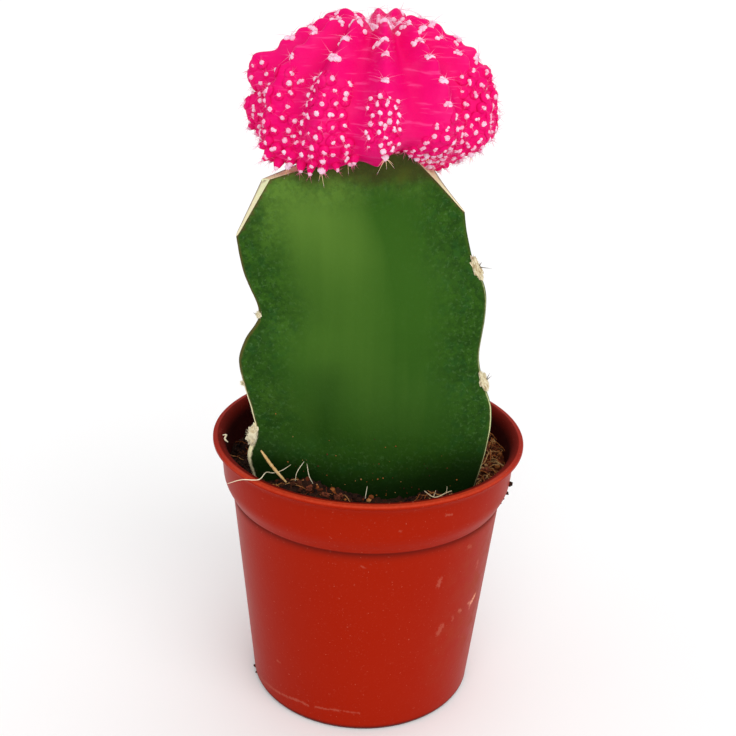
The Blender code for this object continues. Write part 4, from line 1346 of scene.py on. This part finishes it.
def makeCrown(finishes):  # wool and the youngest tubercles and spines in the dimple
    chance = random.Random(88)
    middle = scionPoint(0, 0.001)
    up, tuftFoot = Vector((0, 0, 1)), middle + Vector((0, 0, 0.8))

    def anySpot(widest):  # a way out from the middle, and how far
        turn = math.degrees(chance.uniform(0, 6.3))
        return levelWay(turn), widest * math.sqrt(chance.random())

    heap, (count, shortest, longest, thick) = Heap(), scion["crownSpines"]
    for _ in range(scion["crownLumps"]):
        way, reach = anySpot(scion["crownSpread"])
        spot = middle + way * reach + up * (0.3 + 0.12 * reach)
        lump = chance.uniform(0.4, 0.65)
        dome = domeShape(spot, up + way * reach * 0.1, lump, lump * 1.6, 10, 5, 0.1, chance)
        heap.add(*dome, chance.uniform(0.5, 1))
    for _ in range(count):
        way, reach = anySpot(scion["crownSpineSpread"])
        fall, length = way * chance.uniform(-0.2, 0.9), chance.uniform(shortest, longest)
        needle = needleShape(tuftFoot + way * reach, up + fall, length, thick, fall * 0.4, 3, 4)
        addSpine(heap, needle, (0.6, 0.55, 0.5, 0.45, 0.25), top=cadTop)
    tallest = cadTop - 0.02 - tuftFoot.z
    heap.add(*needleShape(tuftFoot, up, tallest, thick, (0, 0, 0), 4, 4), 0.5, 1)
    heap.piece("crownTuft", 70, finishes, "crown_wool", "crown_wool")


@cache
def crestLengths():  # how far down a rib's crest each degree is
    crest = [scionPoint(scion["firstRib"], polar) for polar in range(181)]
    lengths = [0.0]
    for a, b in zip(crest, crest[1:]):
        lengths.append(lengths[-1] + (b - a).length)
    return lengths


def scatter(cluster, gap, chance):  # places on a rib for offsets, a gap apart
    start, end, narrow, wide, _ = cluster
    places = []
    for _ in range(scion["offsetTries"]):
        polar = chance.uniform(start, end)
        half = narrow + (wide - narrow) * shareBetween(polar, start, start + 35) ** 2
        across, down = chance.uniform(-half, half), crestLengths()[int(polar)]
        if all(math.hypot(across - a, down - d) > gap for a, d, _ in places):
            places.append((across, down, polar))
    return places


def makeOffsets(finishes):
    for rib, cluster in enumerate(scion["clusters"]):
        chance = random.Random(300 + rib)
        least, greatest, shrink, gap = scion["offsetSizes" if rib else "smallOffsetSizes"]
        count, shortest, longest, thick = scion["offsetSpines"]
        heap = Heap()
        for aside, _, polar in scatter(cluster, gap, chance):
            girth = scion["radius"] * math.sin(math.radians(polar))
            spot, out, side, _ = skinFrame(ribAzimuth(rib) + math.degrees(aside / girth), polar)
            if stemHolds(spot - out * 0.2):
                continue
            low = shareBetween(polar, 98, 122)
            tilt = out + side * chance.uniform(-0.3, 0.3) + Vector((0, 0, chance.uniform(-0.3, 0.2)))
            tilt.normalize()
            radius = chance.uniform(least, greatest) * (1 - shrink * low)
            rise = chance.uniform(0.30, 0.66) + cluster[-1] * low * chance.uniform(0.5, 1.0)
            root = spot - out * 0.15
            knob, faces = domeShape(root, tilt, radius, rise, 12, 6, 0.06, chance)
            # painted shade: each knob is darker round its foot, where it meets the skin
            tones = [1.0, *np.repeat([1.0, 1.0, 1.0, 0.9, 0.75, 0.6], 12)]
            heap.add(knob, faces, tones)
            tip = root + tilt * (rise - 0.12)
            long = anyWay(chance).cross(tilt).normalized()
            stretch, dots = chance.choice(scion["offsetWool"])
            bright = chance.uniform(0.55, 1.0)
            for n in range(dots):
                dot = chance.uniform(0.34, 0.50) if dots == 1 else chance.uniform(0.23, 0.36)
                shift = long * (n - (dots - 1) / 2) * 2 * stretch / dots + anyWay(chance, 0.05)
                wool = domeShape(tip + shift, tilt, dot, dot * 0.9, 8, 4, 0.16, chance)
                heap.add(*wool, bright, 1)
            for _ in range(count):
                fall, length = anyWay(chance, 0.8), chance.uniform(shortest, longest)
                needle = needleShape(tip + tilt * 0.15, tilt + fall, length, thick, fall * 0.15, 3, 3)
                addSpine(heap, needle, (0.6, 0.5, 0.4, 0.1), 2)
        number = f"{rib + 1:02d}"
        heap.piece(f"offsets{number}", 75, finishes, "offset_skin", f"offset_cluster_{number}")


def makeGraftSpines(finishes):  # cream spines that hang from the lowest areoles over the graft
    chance = random.Random(17)
    heap, thick = Heap(), scion["graftSpineThickness"]
    for azimuth, polar, stand, lengths in scion["graftTufts"]:
        spot, out, side, _ = skinFrame(azimuth, polar)
        spot = spot + out * stand
        heap.add(*domeShape(spot - out * 0.2, out, 0.5, 0.6, 12, 5, 0.2, chance), 0.9)
        forward = out.xy.to_3d().normalized() * 0.4
        for n, length in enumerate(lengths):
            fan = (n - (len(lengths) - 1) / 2) * 0.75 + chance.uniform(-0.2, 0.2)
            way = Vector((0, 0, -1)) + side * fan + forward
            needle = needleShape(spot, way, length, thick, (0, 0, -0.25), 5, 5)
            addSpine(heap, needle, (0.7, 0.9, 1.0, 1.0, 0.9, 0.4))
    heap.piece("graftSpines", 70, finishes, "crown_wool")


# what lies on the peat: a straw, roots and crumbs of bark; and the buried roots' look

litter = {
    "straw": (0.640, 0.400, 0.150),
    "strawPale": (0.900, 0.820, 0.600),
    "strawDark": (0.300, 0.130, 0.050),
    "bark": (0.070, 0.016, 0.008),
    "barkLight": (0.330, 0.085, 0.038),
    "root": (0.30, 0.17, 0.08),
    "rootPale": (0.55, 0.40, 0.22),
    # radius, tone, route
    "strands": {
        "straw": (0.27, 0.45, (
            (-13.4, -15.9, 47.0), (-14.7, -15.4, 48.2), (-16.0, -14.9, 49.6), (-17.8, -14.0, 51.8))),
        "root_hair_over_rim": (0.075, 0.95, (
            (-22.9, -18.8, 47.9), (-20.3, -20.4, 49.6), (-17.5, -20.9, 50.0), (-16.7, -18.9, 50.1),
            (-16.4, -16.9, 49.3), (-15.6, -15.2, 48.3), (-14.2, -14.3, 48.4), (-12.8, -14.1, 49.4))),
        "root_hair_left": (0.055, 0.95, (
            (-12.0, -15.1, 46.9), (-11.7, -15.1, 48.5), (-10.6, -14.2, 50.1))),
        "root_hair_middle": (0.055, 0.95, (
            (-10.1, -14.2, 49.7), (-9.7, -14.9, 47.9), (-9.0, -15.5, 46.7))),
        "root_hair_front": (0.055, 0.95, ((0.1, -14.6, 46.1), (-0.2, -15.6, 44.2))),
        "rootlet_curl": (0.17, 0.95, (
            (-25.4, -4.6, 49.8), (-24.8, -4.35, 49.7), (-25.0, -4.9, 49.2), (-24.4, -5.3, 48.8))),
    },
    "fork": ((9.7, -14.7, 45.6), (11.5, -15.1, 44.7), (13.6, -14.3, 45.3), (14.4, -13.9, 45.4)),
    "prongs": (
        ((13.4, -14.4, 45.2), (13.5, -14.3, 45.8), (13.5, -14.2, 46.4)),
        ((11.3, -15.0, 44.8), (11.5, -14.9, 45.4), (11.6, -14.8, 45.9)),
    ),
    "forkThickness": (0.10, 0.07),  # in the middle, and how much less at the ends
    "prongThickness": (0.075, 0.005),  # at the root, and how much less at each point
    "forkTones": (0.75, 0.85),
    "crumbSquash": (1, 0.7, 0.55),
    # crumbs of bark: x, y, size
    "crumbs": (
        (-9.6, -16.4, 0.75), (-6.9, -17.4, 0.7), (-4.6, -16.6, 0.8), (-13.6, -17.6, 0.6),
        (20.8, -4.6, 0.9), (21.5, 2.4, 0.8), (19.6, 8.6, 0.8), (-9.8, 17.6, 0.9), (7.4, 18.9, 0.8),
    ),
}


def strawFinish():
    f = Finish("strawFinish", litter, 0.6, 0.3)
    shade = f.painted("shade") + (f.grain(0.5, 3, 0.6, (1, 1, 0.4)) - 0.5) * 0.5
    colour = f.ramp(shade.held(), (0.0, "strawDark"), (0.45, "straw"), (1.0, "strawPale"))
    return f.wear(Base_Color=colour, Normal=f.raised(f.grain(0.12, 3, 0.6, (1, 1, 0.2)), 0.04))


def barkFinish():
    f = Finish("barkFinish", litter, 0.9, 0.15)
    colour = f.mix(f.grain(0.45, 4, 0.75, (1, 1, 2)).between(0.40, 0.66), "bark", "barkLight")
    return f.wear(Base_Color=colour, Normal=f.raised(f.worn(), 0.2))


def rootFinish():
    f = Finish("rootFinish", litter, 0.85, 0.2)
    colour = f.mix(f.grain(1.2, 4, 0.6, (1, 1, 0.5)), "root", "rootPale")
    return f.wear(Base_Color=colour, Normal=f.raised(f.worn(), 0.15))


def makeStrands(finish):
    sides = 8
    for number, (node, (radius, tone, route)) in enumerate(litter["strands"].items()):
        chance = random.Random(60 + number)
        count = max(12, len(route) * 6)
        radii = []
        for i in range(count):
            end = abs(2 * i / (count - 1) - 1)  # 1 at both ends
            radii.append(radius * (1 - 0.55 * end**3) * (1 + 0.10 * math.sin(i * 2.1 + number)))
        heap = Heap()
        tones = np.repeat([tone + chance.uniform(-0.12, 0.12) for _ in range(count)], sides)
        heap.add(*tubeShape(smoothRoute(route, count), radii, sides), tones)
        heap.piece(node.title().replace("_", "") + "Strand", 50, [finish], "straw", node)
    heap = Heap()
    (thick, less), (prongThick, prongLess) = litter["forkThickness"], litter["prongThickness"]
    forkRadii = [thick - less * abs(i / 23 - 0.55) for i in range(24)]
    prongRadii = [prongThick - prongLess * i for i in range(10)]
    forkTone, prongTone = litter["forkTones"]
    branches = [(litter["fork"], forkRadii, forkTone)]
    branches += [(prong, prongRadii, prongTone) for prong in litter["prongs"]]
    for route, radii, tone in branches:
        heap.add(*tubeShape(smoothRoute(route, len(radii)), radii, sides), tone)
    heap.piece("ForkStrand", 50, [finish], "straw", "rootlet_fork")


def makeCrumbs(finish):
    ball, faces = fineBall
    for number, (x, y, size) in enumerate(litter["crumbs"], 1):
        spots = []
        for p in ball:
            lump = 1 + 0.4 * rough(*(p * 1.3 + number * 3), 1.0) + 0.2 * rough(*(p * 5 + number), 1.0)
            lump += 0.1 * round(3 * rough(*(p * 2.4 + number), 1.0))
            spots.append(p * np.array(litter["crumbSquash"]) * size * lump)
        spots = np.array(spots) @ np.array(Matrix.Rotation(number * 1.3, 3, "Z")).T
        lowest = spots[:, 2].min()
        heap = Heap()
        heap.add(spots + np.array([x, y, soilHeight(x, y) - lowest + 0.05]), faces)
        heap.piece(f"barkCrumb{number}", 40, [finish], "bark", f"bark_crumb_{number}")


# the camera, the lights and the floor

studio = {
    "cameraPlace": (-0.47, -189.72, 140.47),
    "cameraAim": (-0.47, 0.0, 61.5),
    "lens": 57.67,
    "roll": 2.0,
    "world": 0.68,
    "floorRadius": 4000,
    "floorHeight": -0.05,
    "floor": (0.97, 0.97, 0.97),
    "floorShade": (0.93, 0.93, 0.93),
    # where each soft light comes from, its spread in degrees and its strength
    "lights": {
        "keyLight": ((0.24, -0.80, 0.66), 70.0, 1.65),
        "backLight": ((0.30, 0.70, 0.65), 80.0, 0.4),
    },
}


def aimed(place, aim, roll=0.0):  # the matrix of something that looks from a place at an aim
    place, aim = Vector(place), Vector(aim)
    turn = (aim - place).to_track_quat("-Z", "Y").to_matrix().to_4x4()
    return Matrix.Translation(place * mm) @ turn @ Matrix.Rotation(math.radians(roll), 4, "Z")


def makeStudio():
    scene = bpy.context.scene
    scene.view_settings.view_transform = "Standard"
    camera = bpy.data.objects.new("camera", bpy.data.cameras.new("camera"))
    camera.data.lens, camera.data.sensor_width = studio["lens"], 36.0
    camera.data.clip_start, camera.data.clip_end = 0.005, 20
    camera.matrix_world = aimed(studio["cameraPlace"], studio["cameraAim"], studio["roll"])
    scene.collection.objects.link(camera)
    scene.camera = camera
    for name, (side, spread, strength) in studio["lights"].items():
        light = bpy.data.lights.new(name, "SUN")
        light.angle, light.energy = math.radians(spread), strength
        lamp = bpy.data.objects.new(name, light)
        lamp.matrix_world = aimed(Vector(side) * 500, (0, 0, 0))
        scene.collection.objects.link(lamp)
    world = bpy.data.worlds.new("softRoom")
    world.use_nodes = True
    back = world.node_tree.nodes["Background"]
    back.inputs["Color"].default_value = (1, 1, 1, 1)
    back.inputs["Strength"].default_value = studio["world"]
    scene.world = world
    heap, sides = Heap(), 64
    rim = latheRings([(studio["floorRadius"], studio["floorHeight"])], evenTurns(sides))
    heap.add(rim, [tuple(range(sides))])
    floor = bpy.data.objects.new("studioFloor", heap.mesh("studioFloor"))
    f = Finish("floorPaper", studio, 0.9, 0.1)
    paper = f.mix(f.grain(30.0, 2, 0.5) * 0.02, "floor", "floorShade")
    floor.data.materials.append(f.wear(Base_Color=paper))
    scene.collection.objects.link(floor)
    print("studio set")


# all the pieces in their order

makeStudio()
makePot()
makeStem()
peatLook = peatFinish()
for makePart in (makePeat, makeGrains, makeFibres, makeSpecks):
    makePart(peatLook)
makeAreoles()
makeScion()
scionFinishes = [woolFinish(), scionSpines()]
makeRibAreoles(scionFinishes)
makeCrown(scionFinishes)
makeOffsets([offsetSkin(), *scionFinishes])
makeGraftSpines(scionFinishes)
makeStrands(strawFinish())
makeCrumbs(barkFinish())
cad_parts["root_system"].material_slots[0].material = rootFinish()
